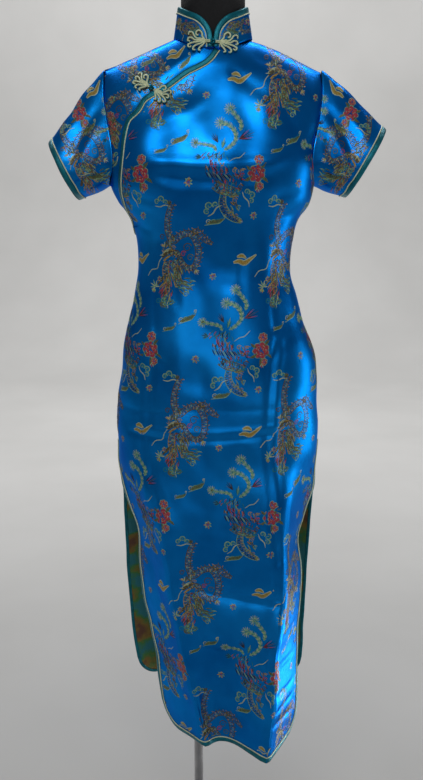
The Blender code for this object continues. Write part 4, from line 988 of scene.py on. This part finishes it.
# %% [markdown]
# ## Woven figures
#
# The brocade's figures are floats of coloured thread over the satin: dragons, phoenixes,
# peonies, little clouds and birds, in traditional shapes that repeat over the whole cloth.
# Here every float is a narrow ribbon with a raised middle, laid on the cloth's surface. A
# figure is first drawn flat as a chart of strokes, so the same chart can be laid many times.

# %% Helper: strokes of a chart
class Chart:
    """Strokes of thread in a plane: each is a line, its half widths and its colour."""

    def __init__(self):
        self.strokes = []

    def stroke(self, points, width, colour, count=9, taper=0.75):
        """A smooth stroke, narrower at both ends."""
        part = np.abs(np.linspace(-1.0, 1.0, count))
        self.strokes.append((through(points, count), 0.5 * width * (1 - taper * part ** 2.2), colour))

    def leaf(self, x, y, angle, length, width, colour, bend=0.0):
        """A pointed leaf, petal or feather from its foot outwards."""
        run = np.array((math.cos(angle), math.sin(angle)))
        foot = np.array((x, y))
        points = [foot, foot + run * length * 0.5 + left_of(run) * bend * length, foot + run * length]
        self.stroke(points, width, colour, 4, 0.9)

    def curl(self, x, y, radius, start, turns, width, colour):
        """A spiral that winds inwards."""
        t = np.linspace(0.0, 1.0, 4 + int(8 * abs(turns)))
        angle = start + 2 * math.pi * turns * t
        reach = radius * (1 - 0.78 * t)
        line = np.stack((x + reach * np.cos(angle), y + reach * np.sin(angle)), -1)
        self.strokes.append((line, 0.5 * width * (1 - 0.6 * t), colour))

    def curls(self, start, turns, width, *rows):
        """Spirals of one kind; each row has a place and a radius in millimetres, and a colour."""
        for x, y, radius, colour in rows:
            self.curl(*mm(x, y, radius), start, turns, width, colour)

    def tube(self, line, half, width, edge):
        """Two outlines, one on each side of a line."""
        square = left_of(unit(np.gradient(line, axis=0))) * np.reshape(half, (-1, 1))
        for way in (-1, 1):
            self.strokes.append((line + way * square, np.full(len(line), width), edge))
        return square


# %% Chart of the phoenix
def mm(*values):
    """Numbers or points given in millimetres."""
    return np.array(values) * 0.001


def plume(chart, spine, size, barbs, eye):
    """A tail feather: a stalk with barbs on both sides, and an eye in a tuft at its end."""
    count = int(lengths(spine)[-1] / 0.0019)
    line = through(spine, count)
    chart.strokes.append((line, np.full(count, 0.0011), barbs))
    turn = np.gradient(line, axis=0)
    heading = np.arctan2(turn[:, 1], turn[:, 0])
    for k in range(1, count):
        for way in (-1, 1):
            chart.leaf(*line[k], heading[k] + way * 0.95, size * (0.7 + 0.3 * k / count), 0.0015,
                       ("cream", barbs, "teal", barbs)[k % 4])
    x, y = line[-1]
    for k in range(11):
        angle = heading[-1] + (k - 5) * 0.42
        foot = 0.42 * size
        chart.leaf(x + foot * math.cos(angle), y + foot * math.sin(angle), angle, size * 1.25, 0.0016,
                   "cream" if k % 2 else barbs)
    for reach, colour, width in ((0.66, "green", 0.0016), (0.4, eye, 0.0034)):
        chart.curl(x, y, size * reach, 0.0, 1.0, width, colour)


def quills(chart, x, y, angle, spread, length, colours, count, width=0.0019, step=(0.0, 0.0)):
    """A fan or a row of straight feathers, placed in millimetres."""
    colours = colours.split()
    for k in range(count):
        part = k / (count - 1)
        chart.leaf(*mm(x + step[0] * k, y + step[1] * k), angle + spread * (part - 0.5),
                   0.001 * length * (1 - 0.25 * abs(2 * part - 1)), width, colours[k % len(colours)])


def scaled(chart, spine, girth, colours, edge, fins=""):
    """A long scaled body: two outlines, rows of scales between them and fins along one side."""
    count = int(lengths(spine)[-1] / 0.0026)
    line = through(spine, count)
    turn = unit(np.gradient(line, axis=0))
    square = chart.tube(line, girth * np.sin(math.pi * np.linspace(0.17, 0.93, count)) ** 0.5, 0.00065, edge)
    colours, fins = colours.split(), fins.split()
    for k in range(1, count - 1):
        for m in (-0.5, 0.5):
            foot = line[k] + square[k] * (m + 0.25 * (k % 2) - 0.12)
            cup = (foot - square[k] * 0.45, foot + turn[k] * 0.0018, foot + square[k] * 0.45)
            chart.stroke(cup, 0.0015, colours[(2 * k + int(m > 0)) % len(colours)], 4, 0.3)
        if fins and k % 2:
            chart.leaf(*(line[k] + square[k]), math.atan2(*square[k][::-1]) + 0.5, 0.0048, 0.0015,
                       fins[(k // 2) % len(fins)])


def tuft(chart, x, y, wide, tall, angle, spread, length, colours, count, width=0.0017):
    """Short strokes scattered over an oval, all leaning much the same way."""
    rng = np.random.default_rng(int(abs(x * 7 + y * 13)) + count)
    colours = colours.split()
    for k in range(count):
        reach, around, lean, size = rng.random(4)
        reach, around = math.sqrt(reach), around * 2 * math.pi
        chart.leaf(*mm(x + wide * reach * math.cos(around), y + tall * reach * math.sin(around)),
                   angle + spread * (lean - 0.5), 0.001 * length * (0.6 + 0.6 * size), width,
                   colours[k % len(colours)], 0.2 * (lean - 0.5))


def phoenix():
    """A phoenix flying down with its tail feathers streaming up; the origin is the tail's top."""
    chart = Chart()
    for size, eye, *spine in (
            (0.0062, "teal", (17, -38), (19, -27), (12, -16), (1, -4)),
            (0.0062, "teal", (-9, -69), (3, -61), (10.5, -50), (8, -38), (-2, -28), (-14, -26)),
            (0.0054, "bronze", (-21, -71), (-24, -64), (-31, -61), (-42, -59), (-54, -57))):
        plume(chart, mm(*spine), size, "green", eye)
    quills(chart, -18, -57, 2.1, 0.8, 18, "navy bronze navy", 5, 0.0013)
    quills(chart, 15, -51, 0.45, 0.9, 28, "navy coral navy bronze", 7, 0.0013)
    quills(chart, -12, -66, 1.3, 0.5, 18, "teal green", 3, 0.0026)
    tuft(chart, -22, -76, 20, 9, -1.9, 1.2, 10, "teal green teal coral navy", 34, 0.0015)
    tuft(chart, -20, -92, 18, 8, -1.4, 1.4, 9, "coral bronze coral gold teal navy", 36, 0.0018)
    quills(chart, -38, -100, -1.0, 0.3, 17, "navy green navy bronze", 12, 0.0022, (3.2, -0.3))
    tuft(chart, -14, -118, 18, 8, -1.2, 1.2, 9, "navy bronze coral olive", 26, 0.0018)
    quills(chart, -44, -80, 2.9, 1.3, 13, "teal navy", 7, 0.0014)
    tuft(chart, 12, -112, 10, 20, -0.9, 1.8, 8, "coral bronze gold navy teal", 40, 0.0018)
    scaled(chart, mm((-26, -121), (-12, -128), (2, -131), (16, -134)), 0.0078,
           "teal green olive bronze teal", "olive")
    tuft(chart, -4, -132, 18, 7, -0.4, 1.0, 9, "teal green olive gold", 26, 0.0016)
    scaled(chart, mm((-10, -136), (-11, -151), (-4, -165), (8, -174), (19, -178)), 0.006,
           "bronze olive navy gold", "green")
    tuft(chart, 6, -155, 9, 12, -1.0, 1.2, 8, "bronze olive gold green", 22, 0.0016)
    chart.stroke(mm((-1, -88), (8, -82), (16, -80), (25, -71)), 0.0014, "cream", 9, 0.5)
    chart.curls(0.5, 1.3, 0.0015, (9, -146, 5, "gold"), (15, -157, 4, "green"), (20, -108, 4, "coral"),
                (7, -98, 4, "gold"), (18, -126, 5, "bronze"))
    quills(chart, 14, -177, -0.3, 1.2, 9, "gold green cream", 5, 0.0016)
    quills(chart, 2, -140, 0.4, 1.2, 12, "bronze gold", 5, 0.0015)
    return chart


# %% Chart of the dragon
def dragon():
    """A coiling dragon with scales, fins, a claw, horns, whiskers and flames."""
    chart = Chart()
    skin = "gold olive bronze olive gold bronze green"
    for girth, colours, edge, fins, *spine in (
            (0.005, skin, "bronze", "gold olive bronze", (-21, 88), (-29, 70), (-33, 52), (-32, 36),
             (-24, 24), (-10, 34), (6, 37), (17, 22), (19, 0), (12, -17), (-1, -18), (-11, -6), (-18, 6),
             (-30, 2)),
            (0.0045, "bronze gold olive", "bronze", "olive gold", (8, 37), (18, 41), (30, 28), (43, 21)),
            (0.0052, skin, "gold", "coral olive", (-34, -6), (-38, -22), (-36, -40), (-33, -60)),
            (0.0034, "gold bronze green", "olive", "", (-19, -4), (-21, -20), (-16, -36), (-18, -52))):
        scaled(chart, mm(*spine), girth, colours, edge, fins)
    chart.curls(0.4, 1.4, 0.0017, (1, 14, 8, "bronze"), (6, -2, 6, "olive"), (-6, 4, 5, "coral"),
                (-24, 12, 5, "gold"), (-28, -12, 5, "bronze"), (-40, -80, 8, "olive"), (-27, -77, 6, "teal"),
                (-50, -75, 5, "teal"), (-8, -50, 5, "olive"), (-2, -62, 5, "green"), (-44, 30, 5, "bronze"))
    chart.stroke(mm((-26, 8), (-34, 6), (-44, -2)), 0.007, "bronze", 8, 0.35)
    chart.stroke(mm((-28, 12), (-36, 10), (-46, 1)), 0.0016, "cream", 8)
    chart.stroke(mm((-28, 1), (-35, -3), (-42, -8)), 0.0034, "gold", 8)
    chart.curl(-0.035, 0.008, 0.0024, 0.0, 1.0, 0.0015, "cream")
    quills(chart, -30, 12, 1.7, 0.9, 19, "olive cream olive", 4, 0.0017)
    chart.stroke(mm((-44, -2), (-50, -10), (-54, -21), (-66, -24), (-74, -34)), 0.0014, "cream", 14, 0.3)
    chart.stroke(mm((-36, -28), (-45, -38), (-54, -48)), 0.0036, "bronze", 8, 0.3)
    quills(chart, -58, -51, 2.0, 3.9, 12, "cream green", 7, 0.0021)
    quills(chart, -60, -54, -1.9, 1.6, 8, "gold green", 4, 0.0024)
    tuft(chart, -22, -24, 12, 18, -1.4, 0.9, 15, "gold olive bronze green bronze", 44, 0.0018)
    tuft(chart, -6, -46, 13, 11, -0.5, 1.8, 11, "green olive teal olive", 34, 0.0022)
    tuft(chart, -34, -50, 10, 20, -1.7, 1.4, 12, "olive gold bronze coral", 40, 0.0019)
    tuft(chart, -32, 8, 10, 12, 2.8, 2.6, 10, "gold olive bronze cream", 26, 0.0017)
    tuft(chart, -38, -78, 14, 6, 0.1, 1.2, 9, "olive teal green", 22, 0.002)
    quills(chart, 14, -22, -1.0, 1.6, 10, "cream gold", 5, 0.0015)
    quills(chart, -26, 84, 1.8, 1.6, 9, "olive bronze", 6, 0.0017)
    return chart


# %% Charts of the peony, the bird, the clouds and the seeds
def bloom(chart, x, y, size):
    """A round flower: rings of full petals with a pale outline."""
    for ring, petals, reach in ((0, 7, 1.0), (1, 5, 0.62), (2, 3, 0.34)):
        for k in range(petals):
            angle = 2 * math.pi * (k + 0.5 * ring) / petals + 0.4
            out = np.array((math.cos(angle), math.sin(angle))) * size * reach
            side = left_of(out) * 0.4
            chart.leaf(*((x, y) + 0.3 * out), angle, 0.7 * size * reach, 0.62 * size * reach, "coral")
            chart.stroke(((x, y) + 0.78 * out - side, (x, y) + out, (x, y) + 0.78 * out + side), 0.0012,
                         "cream" if ring else "green", 5, 0.4)


def peony():
    """A full peony with two buds and leaves."""
    chart = Chart()
    for angle, reach, x, y in (
            (3.5, 0.016, -0.006, -0.004), (5.6, 0.016, 0.006, -0.006), (0.7, 0.014, 0.006, 0.006),
            (2.5, 0.013, -0.006, 0.006), (4.5, 0.014, -0.002, -0.012)):
        chart.leaf(x, y, angle, reach, 0.005, "olive", 0.1)
        chart.leaf(x, y, angle, reach * 0.9, 0.0014, "teal", 0.1)
    bloom(chart, 0.0, 0.0, 0.0145)
    bloom(chart, 0.005, 0.021, 0.0075)
    bloom(chart, 0.004, -0.02, 0.0062)
    quills(chart, 0, -22, -1.6, 1.4, 9, "cream coral", 4, 0.0018)
    return chart


def bird():
    """A little gold swallow with spread wings, and a leaf beside it."""
    chart = Chart()
    for spine, width in ((mm((-18, -3), (-9, -1), (0, -4), (8, 1), (20, 10)), 0.0075),
                         (mm((-12, 6), (-4, 8), (3, 4)), 0.0055)):
        line = through(spine, 12)
        half = 0.5 * width * np.sin(math.pi * np.linspace(0.08, 0.97, 12))
        chart.strokes.append((line, half, "gold"))
        chart.tube(line, half, 0.00085, "cream")
    chart.curl(0.0, -0.003, 0.002, 0.0, 1.0, 0.001, "bronze")
    return chart


def cloud():
    """A small scrolled cloud with a trailing tail."""
    chart = Chart()
    for x, y, r, start, turns in (
            (-0.0055, 0.0, 0.0052, 0.0, 1.2), (0.004, 0.003, 0.0058, math.pi, -1.2),
            (0.0105, -0.0032, 0.0045, math.pi, -1.1)):
        chart.curl(x, y, r, start, turns, 0.002, "green")
        chart.curl(x + 0.0004, y - 0.0006, r * 0.6, start, turns, 0.0015, "teal")
    chart.stroke(mm((-10, -5.8), (-2, -8.6), (8, -7.4), (16, -11.5)), 0.0018, "cream", 10, 0.6)
    return chart


def scroll():
    """A long cloud scroll with a curl at one end and a turned-up tail."""
    chart = Chart()
    chart.stroke(mm((-14, -3), (-5, -1), (6, 1), (15, 4)), 0.0062, "olive", 8, 0.8)
    chart.stroke(mm((-17, -6), (-4, -4), (8, -2), (17, 8)), 0.0015, "green", 10, 0.4)
    chart.stroke(mm((-13, 2), (-3, 3), (7, 4), (15, 8)), 0.0013, "teal", 10, 0.4)
    chart.curls(0.6, 1.2, 0.0015, (-11, -1, 4.5, "cream"), (-3, 0, 3.6, "green"), (5, 1, 3.4, "teal"),
                (16, 9, 2.6, "cream"))
    return chart


def seed():
    """A round seed head with small petals."""
    chart = Chart()
    for k in range(7):
        angle = 2 * math.pi * k / 7
        chart.leaf(0.0022 * math.cos(angle), 0.0022 * math.sin(angle), angle, 0.005, 0.0026,
                   "gold" if k % 2 else "green")
    chart.curl(0.0, 0.0, 0.0034, 0.0, 1.2, 0.0016, "coral")
    chart.curl(0.0, 0.0, 0.006, 0.4, 0.8, 0.0011, "cream")
    return chart


CHARTS = {draw.__name__: draw() for draw in (phoenix, dragon, peony, bird, cloud, scroll, seed)}
for name, chart in CHARTS.items():
    print("chart", name, len(chart.strokes), "strokes")

# %% [markdown]
# ## Laying the figures on the cloth
#
# On the loom the figures repeat in a plain lattice. The front and the back are unrolled: a
# place on the cloth is its distance along the cloth from the middle line, and its height. The
# back has the front's figures turned over. The sleeves, the flap and the collar are small, so
# their figures are simply cast on from the front or the back. A stroke stops where it would
# leave its piece or reach its binding. The ribbons all face away from the cloth.

# %% Helper: unrolled panels
RUN_STEP, RISE_STEP, HALF_RUN = 0.002, 0.003, 0.33
TRIM_CLEAR = 0.0038         # how far the figures stop short of the binding
CAST_FROM, LEAST_FACING = 0.6, 0.1      # where a cast starts, and how steep the cloth may be


def unrolled(side):
    """Rows of a panel in even steps of length along the cloth, and their edges."""
    share = np.linspace(-1.0, 1.0, 241)
    runs = np.arange(-HALF_RUN, HALF_RUN + 1e-9, RUN_STEP)
    table, arcs, across = [], [], []
    for height in np.arange(HEM, NECK_SIDE[1] + 0.003, RISE_STEP):
        if height < SLIT_TOP:
            row = skirt_point(share, height, side)
        else:
            x = ring_across(share, np.full_like(share, height))
            row = np.stack((x, side * body_depth(x, height, side), np.full_like(x, height)), -1)
        arc = lengths(row[:, :2])
        arc -= np.interp(0.0, share, arc)
        table.append(at_lengths(runs, arc, row))
        arcs.append(arc)
        across.append(row[:, 0])
    return np.array(table), np.array(arcs), np.array(across)


def inside(polygon, points):
    """Which points lie inside a closed outline."""
    result = np.zeros(len(points), bool)
    x, y = points[:, 0], points[:, 1]
    for (ax, ay), (bx, by) in zip(polygon, np.roll(polygon, -1, axis=0)):
        if ay != by:
            result ^= ((ay > y) != (by > y)) & (x < ax + (bx - ax) * (y - ay) / (by - ay))
    return result


class Unrolled:
    """A panel as a flat map: run along the cloth from the middle line, and height."""

    def __init__(self, cloth, side, trimmed):
        self.cloth, self.side = cloth, side
        self.table, arcs, across = unrolled(side)
        grid = cloth.grid
        loop = np.concatenate((grid[0], grid[1:, -1], grid[-1, -2::-1], grid[-2:0:-1, 0]))
        row = np.clip(((loop[:, 2] - HEM) / RISE_STEP).round().astype(int), 0, len(arcs) - 1)
        run = np.array([np.interp(p[0], across[r], arcs[r]) for p, r in zip(loop, row)])
        self.outline = np.stack((run, loop[:, 2]), -1)
        self.trimmed = self.outline[trimmed(loop)]

    def lay(self, flat):
        """Where places of the map are in space, and which of them are on the cloth."""
        i = np.clip((flat[:, 0] + HALF_RUN) / RUN_STEP, 0, self.table.shape[1] - 1.001)
        j = np.clip((flat[:, 1] - HEM) / RISE_STEP, 0, self.table.shape[0] - 1.001)
        a, b = i.astype(int), j.astype(int)
        s, t = (i - a)[:, None], (j - b)[:, None]
        low = self.table[b, a] * (1 - s) + self.table[b, a + 1] * s
        high = self.table[b + 1, a] * (1 - s) + self.table[b + 1, a + 1] * s
        fine = inside(self.outline, flat)
        gap = np.full(len(flat), 9.0)
        near = np.flatnonzero(fine)
        for part in np.array_split(near, max(len(near) // 4000, 1)):
            gap[part] = np.linalg.norm(flat[part, None] - self.trimmed[None], axis=-1).min(1)
        return low * (1 - t) + high * t, fine & (gap > BINDING_WIDTH + TRIM_CLEAR)


class Cast:
    """A small piece whose figures are cast on straight from the front or the back."""

    def __init__(self, cloth, side, keep):
        self.cloth, self.side, self.keep = cloth, side, keep

    def lay(self, flat):
        """Where places seen from the front meet the cloth, and which of them do."""
        points, hits = np.zeros((len(flat), 3)), np.zeros(len(flat), bool)
        for k in np.flatnonzero(self.keep(flat)):
            start = Vector((flat[k, 0], CAST_FROM * self.side, flat[k, 1]))
            place, normal = self.cloth.surface.ray_cast(start, Vector((0.0, -self.side, 0.0)))[:2]
            if place is not None and normal.y * self.side > LEAST_FACING:
                points[k], hits[k] = place, True
        return points, hits


# %% Helper: weave charts into a piece
THREAD_LIFT = 0.00006, 0.0003, 0.00006      # a ribbon's edge, middle and edge off the cloth


def weave(name, *pieces):
    """Ribbons of thread for some (map, [(chart, x, height, scale, turn, mirror), ...]) pairs."""
    verts, faces, colours, used = [], [], [], 0
    for laid_on, places in pieces:
        flats, runs = [], []
        for chart, x, height, scale, turn, mirror in places:
            cos, sin = math.cos(turn) * scale, math.sin(turn) * scale
            for line, half, colour in CHARTS[chart].strokes:
                square = left_of(unit(np.gradient(line, axis=0))) * half[:, None]
                ribbon = np.stack((line + square, line, line - square), 1) * (mirror, 1.0)
                flat = ribbon @ ((cos, sin), (-sin, cos)) + (x, height)
                runs.append((len(line), THREAD_ORDER.index(colour), -1 if mirror * laid_on.side > 0 else 1))
                flats.append(flat.reshape(-1, 2))
        flat = np.concatenate(flats)
        points, good = laid_on.lay(flat)
        good = np.repeat(good.reshape(-1, 3).all(1), 3)
        index = np.where(good, used + np.cumsum(good) - 1, -1)
        place, up = laid_on.cloth.nearest(points[good])
        verts.append(place + up * np.tile(THREAD_LIFT, len(flat) // 3)[good, None])
        used += len(place)
        begin = 0
        for stations, colour, way in runs:
            for here in range(begin, begin + 3 * stations - 3, 3):
                if index[here] >= 0 and index[here + 3] >= 0:
                    a, b = index[here], index[here + 3]
                    faces += [(a + m, a + m + 1, b + m + 1, b + m)[::way] for m in (0, 1)]
                    colours += [colour] * 2
            begin += 3 * stations
    print(f"{name}: {len(faces)} faces")
    return make_mesh(name, np.concatenate(verts), faces, THREADS.values(), colours)


# %% Lattice of the loom
REPEAT_RUN, REPEAT_RISE = 0.187, 0.287
FIRST_RUN, FIRST_RISE, LEAN = 0.026, 1.33, 0.036
WIDEST, TALLEST = 0.3, 0.16             # figures further out than these miss the cloth
REPEAT = (                  # chart, run and height from the phoenix, scale, turn, mirror
    ("phoenix", 0, 0, 1, 0, 1), ("dragon", -0.078, 0.051, 1, 0, 1), ("peony", 0.04, -0.104, 1, 0.1, 1),
    ("bird", 0.017, 0.044, 1, 0, 1), ("scroll", -0.029, 0.108, 1, 0, 1),
    ("scroll", -0.081, -0.051, 1, 0.2, 1), ("scroll", -0.112, -0.068, 0.7, 0.1, 1),
    ("cloud", 0.069, -0.147, 1, 0.2, 1), ("cloud", 0.027, -0.137, 1, -0.9, 1),
    ("cloud", -0.038, -0.158, 1.1, 0.9, 1), ("seed", -0.036, 0.018, 0.9, 0, 1),
    ("seed", -0.07, -0.118, 1, 0.5, 1), ("seed", 0.034, -0.17, 0.9, 0.3, 1),
    ("seed", 0.058, 0.012, 0.8, 0.9, 1), ("cloud", -0.118, -0.02, 0.8, 1.3, -1),
)


def lattice():
    """Places of all figures over a whole panel."""
    places = []
    for column in range(-2, 3):
        for row in range(-1, 5):
            for chart, run, rise, scale, turn, mirror in REPEAT:
                height = FIRST_RISE - row * REPEAT_RISE + rise
                x = FIRST_RUN + column * REPEAT_RUN + run + LEAN * (FIRST_RISE - height)
                if abs(x) < WIDEST and HEM - TALLEST < height < NECK_SIDE[1] + TALLEST:
                    places.append((chart, x, height, scale, turn, mirror))
    return places


def mirrored(places, across=0.0):
    """The same figures turned over, as on the back or the other arm."""
    return tuple((c, -x + across, h, s, -t, -m) for c, x, h, s, t, m in places)


OPENING_REACH = 0.008       # how far past the middle the opening's trim runs


def front_trimmed(loop):
    """Which places of the front's outline are trimmed: hem, slits and the slanted opening."""
    high = (loop[:, 2] >= BODICE_FOOT - 0.003) & (loop[:, 2] < NECK_FRONT + 0.0015)
    opening = high & (loop[:, 0] < OPENING_REACH)
    return opening | (loop[:, 2] < SLIT_TOP)


front_map = Unrolled(front, -1, front_trimmed)
back_map = Unrolled(back, 1, lambda loop: loop[:, 2] < SLIT_TOP)
figures = {
    "front_panel": [weave("front_figures", (front_map, lattice()))],
    "back_panel": [weave("back_figures", (back_map, mirrored(lattice(), 0.02)))],
}

# %% Figures of the flap, the sleeves and the collar
opening_edge = opening_line(160)
CUFF_CLEAR = 0.014          # how far the figures stop short of a cuff
COLLAR_CLEAR = 0.002, 0.011, 0.012      # and of the collar's seam, its rim and its front ends


def above_opening(flat):
    """Places of the flap that the front leaves bare, clear of the opening's trim."""
    edge = np.interp(flat[:, 0], opening_edge[:, 0], opening_edge[:, 1])
    gap = np.linalg.norm(flat[:, None] - opening_edge[None], axis=-1).min(1)
    return (flat[:, 1] > edge) & (gap > FLAP_LEVEL) & (flat[:, 0] < 0.02)


def clear_of_cuff(sign):
    """Places of a sleeve that are clear of its cuff's trim."""
    top_x, top_z, foot_x, foot_z = CUFFS[sign][:4]
    square = unit(np.array((top_z - foot_z, foot_x - top_x)))
    return lambda flat: ((flat - (top_x, top_z)) @ square) * sign < -CUFF_CLEAR


def clear_of_collar_trim(flat):
    """Places of the collar between its seam and its trim."""
    share = np.clip(np.abs(flat[:, 0]) / NECK_SIDE[0], 0.0, 1.0)
    base = neck_line(np.degrees(np.arccos(share)), 1, -1)[:, 1]
    rim = np.minimum(COLLAR_HEIGHT, COLLAR_FRONT + 1.3 * np.abs(flat[:, 0]))
    seam, top, front_end = COLLAR_CLEAR
    tall = flat[:, 1] - base
    return (tall > seam) & (tall < rim - top) & (np.abs(flat[:, 0]) > front_end)


SLEEVE_FIGURES = (
    ("dragon", -0.2, 1.262, 0.9, 0.5, 1), ("peony", -0.222, 1.325, 0.9, 0.4, 1),
    ("bird", -0.198, 1.362, 0.9, 0.6, 1), ("cloud", -0.247, 1.3, 0.9, 0.7, 1),
    ("scroll", -0.205, 1.3, 0.9, 0.4, 1), ("scroll", -0.195, 1.222, 0.9, 0.2, -1),
    ("phoenix", -0.18, 1.35, 0.75, 0.6, 1), ("seed", -0.243, 1.268, 0.9, 0.3, 1),
    ("cloud", -0.216, 1.232, 0.9, 0.3, 1),
)
FLAP_FIGURES = (
    ("dragon", -0.1, 1.395, 0.9, 0.9, 1), ("dragon", -0.15, 1.315, 0.9, 0.2, 1),
    ("bird", -0.06, 1.415, 0.9, 0.3, 1), ("scroll", -0.105, 1.404, 0.9, 0.3, 1),
    ("seed", -0.128, 1.395, 0.9, 0, 1), ("peony", -0.168, 1.3, 0.9, 0.2, 1),
    ("cloud", -0.163, 1.25, 0.9, 1.2, 1), ("seed", -0.165, 1.345, 0.9, 0.6, 1),
    ("scroll", -0.045, 1.4, 0.9, 0.6, 1),
)
COLLAR_FIGURES = (
    ("dragon", -0.04, 1.47, 0.45, 0.9, 1), ("dragon", 0.052, 1.462, 0.45, -0.9, 1),
    ("dragon", -0.01, 1.462, 0.45, 1.6, 1), ("seed", -0.056, 1.47, 0.8, 0, 1),
    ("scroll", -0.026, 1.452, 0.7, 0.6, 1), ("scroll", 0.03, 1.452, 0.7, -0.5, 1),
    ("seed", 0.057, 1.47, 0.8, 0.4, 1), ("bird", 0, 1.47, 0.8, 0.2, 1),
    ("cloud", -0.02, 1.468, 0.8, 0.2, 1), ("cloud", 0.022, 1.474, 0.8, 0.2, 1),
)

figures["under_flap"] = [weave("flap_figures", (Cast(flap, -1, above_opening), FLAP_FIGURES))]
for word, sign, places in (("right", -1, SLEEVE_FIGURES), ("left", 1, mirrored(SLEEVE_FIGURES, 0.006))):
    sides = [(Cast(sleeves[sign], side, clear_of_cuff(sign)), places) for side in (-1, 1)]
    figures["sleeve_" + word] = [weave("sleeve_figures_" + word, *sides)]
sides = [(Cast(collar, side, clear_of_collar_trim), COLLAR_FIGURES) for side in (-1, 1)]
figures["collar"] = [weave("collar_figures", *sides)]

# %% [markdown]
# ## The flat cuts of the cloth
#
# Each piece of cloth is listed with the size of its flat cut and how it is held, and its area is
# printed beside it, so the two can be compared. The trims and the woven figures are gathered by piece.

# %% Sheets
CUTS = (                    # cloth, width and length of its flat cut, how it is held
    (front, 0.48, 1.25, "hung"), (back, 0.48, 1.25, "hung"), (flap, 0.2, 0.33, "hung"),
    (sleeves[-1], 0.4, 0.15, "hung"), (sleeves[1], 0.4, 0.15, "hung"), (collar, 0.4, 0.052, "stretched"),
)
for cloth, wide, long, held in CUTS:
    print(cloth.name, "cut", (wide, long), "area", round(cloth.area, 4))

# %% [markdown]
# ## Floor, light and camera
#
# The stand is on a plain pale floor that turns up into a wall behind it in one soft curve.
# Satin lives by its light: a soft lamp high in front draws the highlights over the bust and the
# shoulders, and a broad weak one lower down opens the skirt. A lamp at +X gives that side its
# sheen, a small narrow one near the floor there is mirrored in the hem's turned facet, and the
# last one lights the wall. The camera doesn't see the lamps.

# %% Floor and backdrop
WALL_PLACE, WALL_BEND, REACH = 6.2, 1.6, 9.0    # wall's y, radius of the curve, half width
bend = [(WALL_PLACE - WALL_BEND * (1 - math.sin(a)), WALL_BEND * (1 - math.cos(a)))
        for a in np.linspace(0.1, math.pi / 2, 14)]
profile = [(-REACH, 0.0), (WALL_PLACE - WALL_BEND, 0.0), *bend, (WALL_PLACE, 8.0)]
floor_data = bpy.data.meshes.new("pale_floor")
floor_data.from_pydata([(x, y, z) for y, z in profile for x in (-REACH, REACH)], [],
                       [(2 * k, 2 * k + 1, 2 * k + 3, 2 * k + 2) for k in range(len(profile) - 1)])
floor_data.materials.append(finish("pale_floor", (0.42, 0.415, 0.405), (0.39, 0.385, 0.375), 0.9, grain=1.5))
floor_data.shade_smooth()
floor = bpy.data.objects.new("pale_floor", floor_data)
bpy.context.scene.collection.objects.link(floor)


# %% Lamps
def soft_lamp(name, place, aim, power, width, height, spread=180.0):
    """A rectangular studio lamp, pointed at a place."""
    data = bpy.data.lights.new(name, "AREA")
    data.shape = "RECTANGLE"
    data.size, data.size_y, data.energy = width, height, power
    data.spread = math.radians(spread)
    lamp = bpy.data.objects.new(name, data)
    lamp.location = place
    lamp.visible_camera = False
    lamp.rotation_euler = (Vector(aim) - Vector(place)).to_track_quat("-Z", "Y").to_euler()
    bpy.context.scene.collection.objects.link(lamp)


soft_lamp("key", (-0.15, -2.1, 2.95), (0.03, -0.1, 1.2), 20.0, 1.5, 0.5)
soft_lamp("front", (0.2, -3.6, 1.45), (0.0, 0.0, 0.9), 8.0, 2.2, 1.3)
soft_lamp("side", (2.1, 0.2, 0.7), (0.1, 0.0, 0.6), 7.0, 0.6, 1.2)
soft_lamp("edge", (0.8, 0.22, 0.12), (0.15, -0.12, 0.38), 0.28, 0.35, 0.25, 60.0)
soft_lamp("wall", (0.0, 2.6, 4.6), (0.0, 5.0, 0.3), 350.0, 5.0, 1.6)
world = bpy.data.worlds.new("studio")
world.use_nodes = True
setup(world.node_tree.nodes["Background"], Color=(0.8, 0.85, 0.92, 1.0), Strength=0.16)
bpy.context.scene.world = world
bpy.context.scene.view_settings.view_transform = "Standard"

# %% Camera
WIDTH, HEIGHT, FOCUS, MIDDLE = 423, 780, 909.0, 213.0     # of the view, in points of its picture
SENSOR, TILT, AWAY, LEVEL = 36.0, 12.0, 1.6, 1.19         # mm, degrees down, m in front, m up the dress
camera_data = bpy.data.cameras.new("camera")
camera_data.sensor_fit = "VERTICAL"
camera_data.sensor_height = SENSOR
camera_data.lens = FOCUS / HEIGHT * SENSOR
camera_data.shift_x = (WIDTH / 2 - MIDDLE) / HEIGHT
camera = bpy.data.objects.new("camera", camera_data)
camera.location = (DRESS_SHIFT, -AWAY, LEVEL + DRESS_RISE)
camera.rotation_euler = (math.radians(90.0 - TILT), 0.0, 0.0)
bpy.context.scene.collection.objects.link(camera)
bpy.context.scene.camera = camera
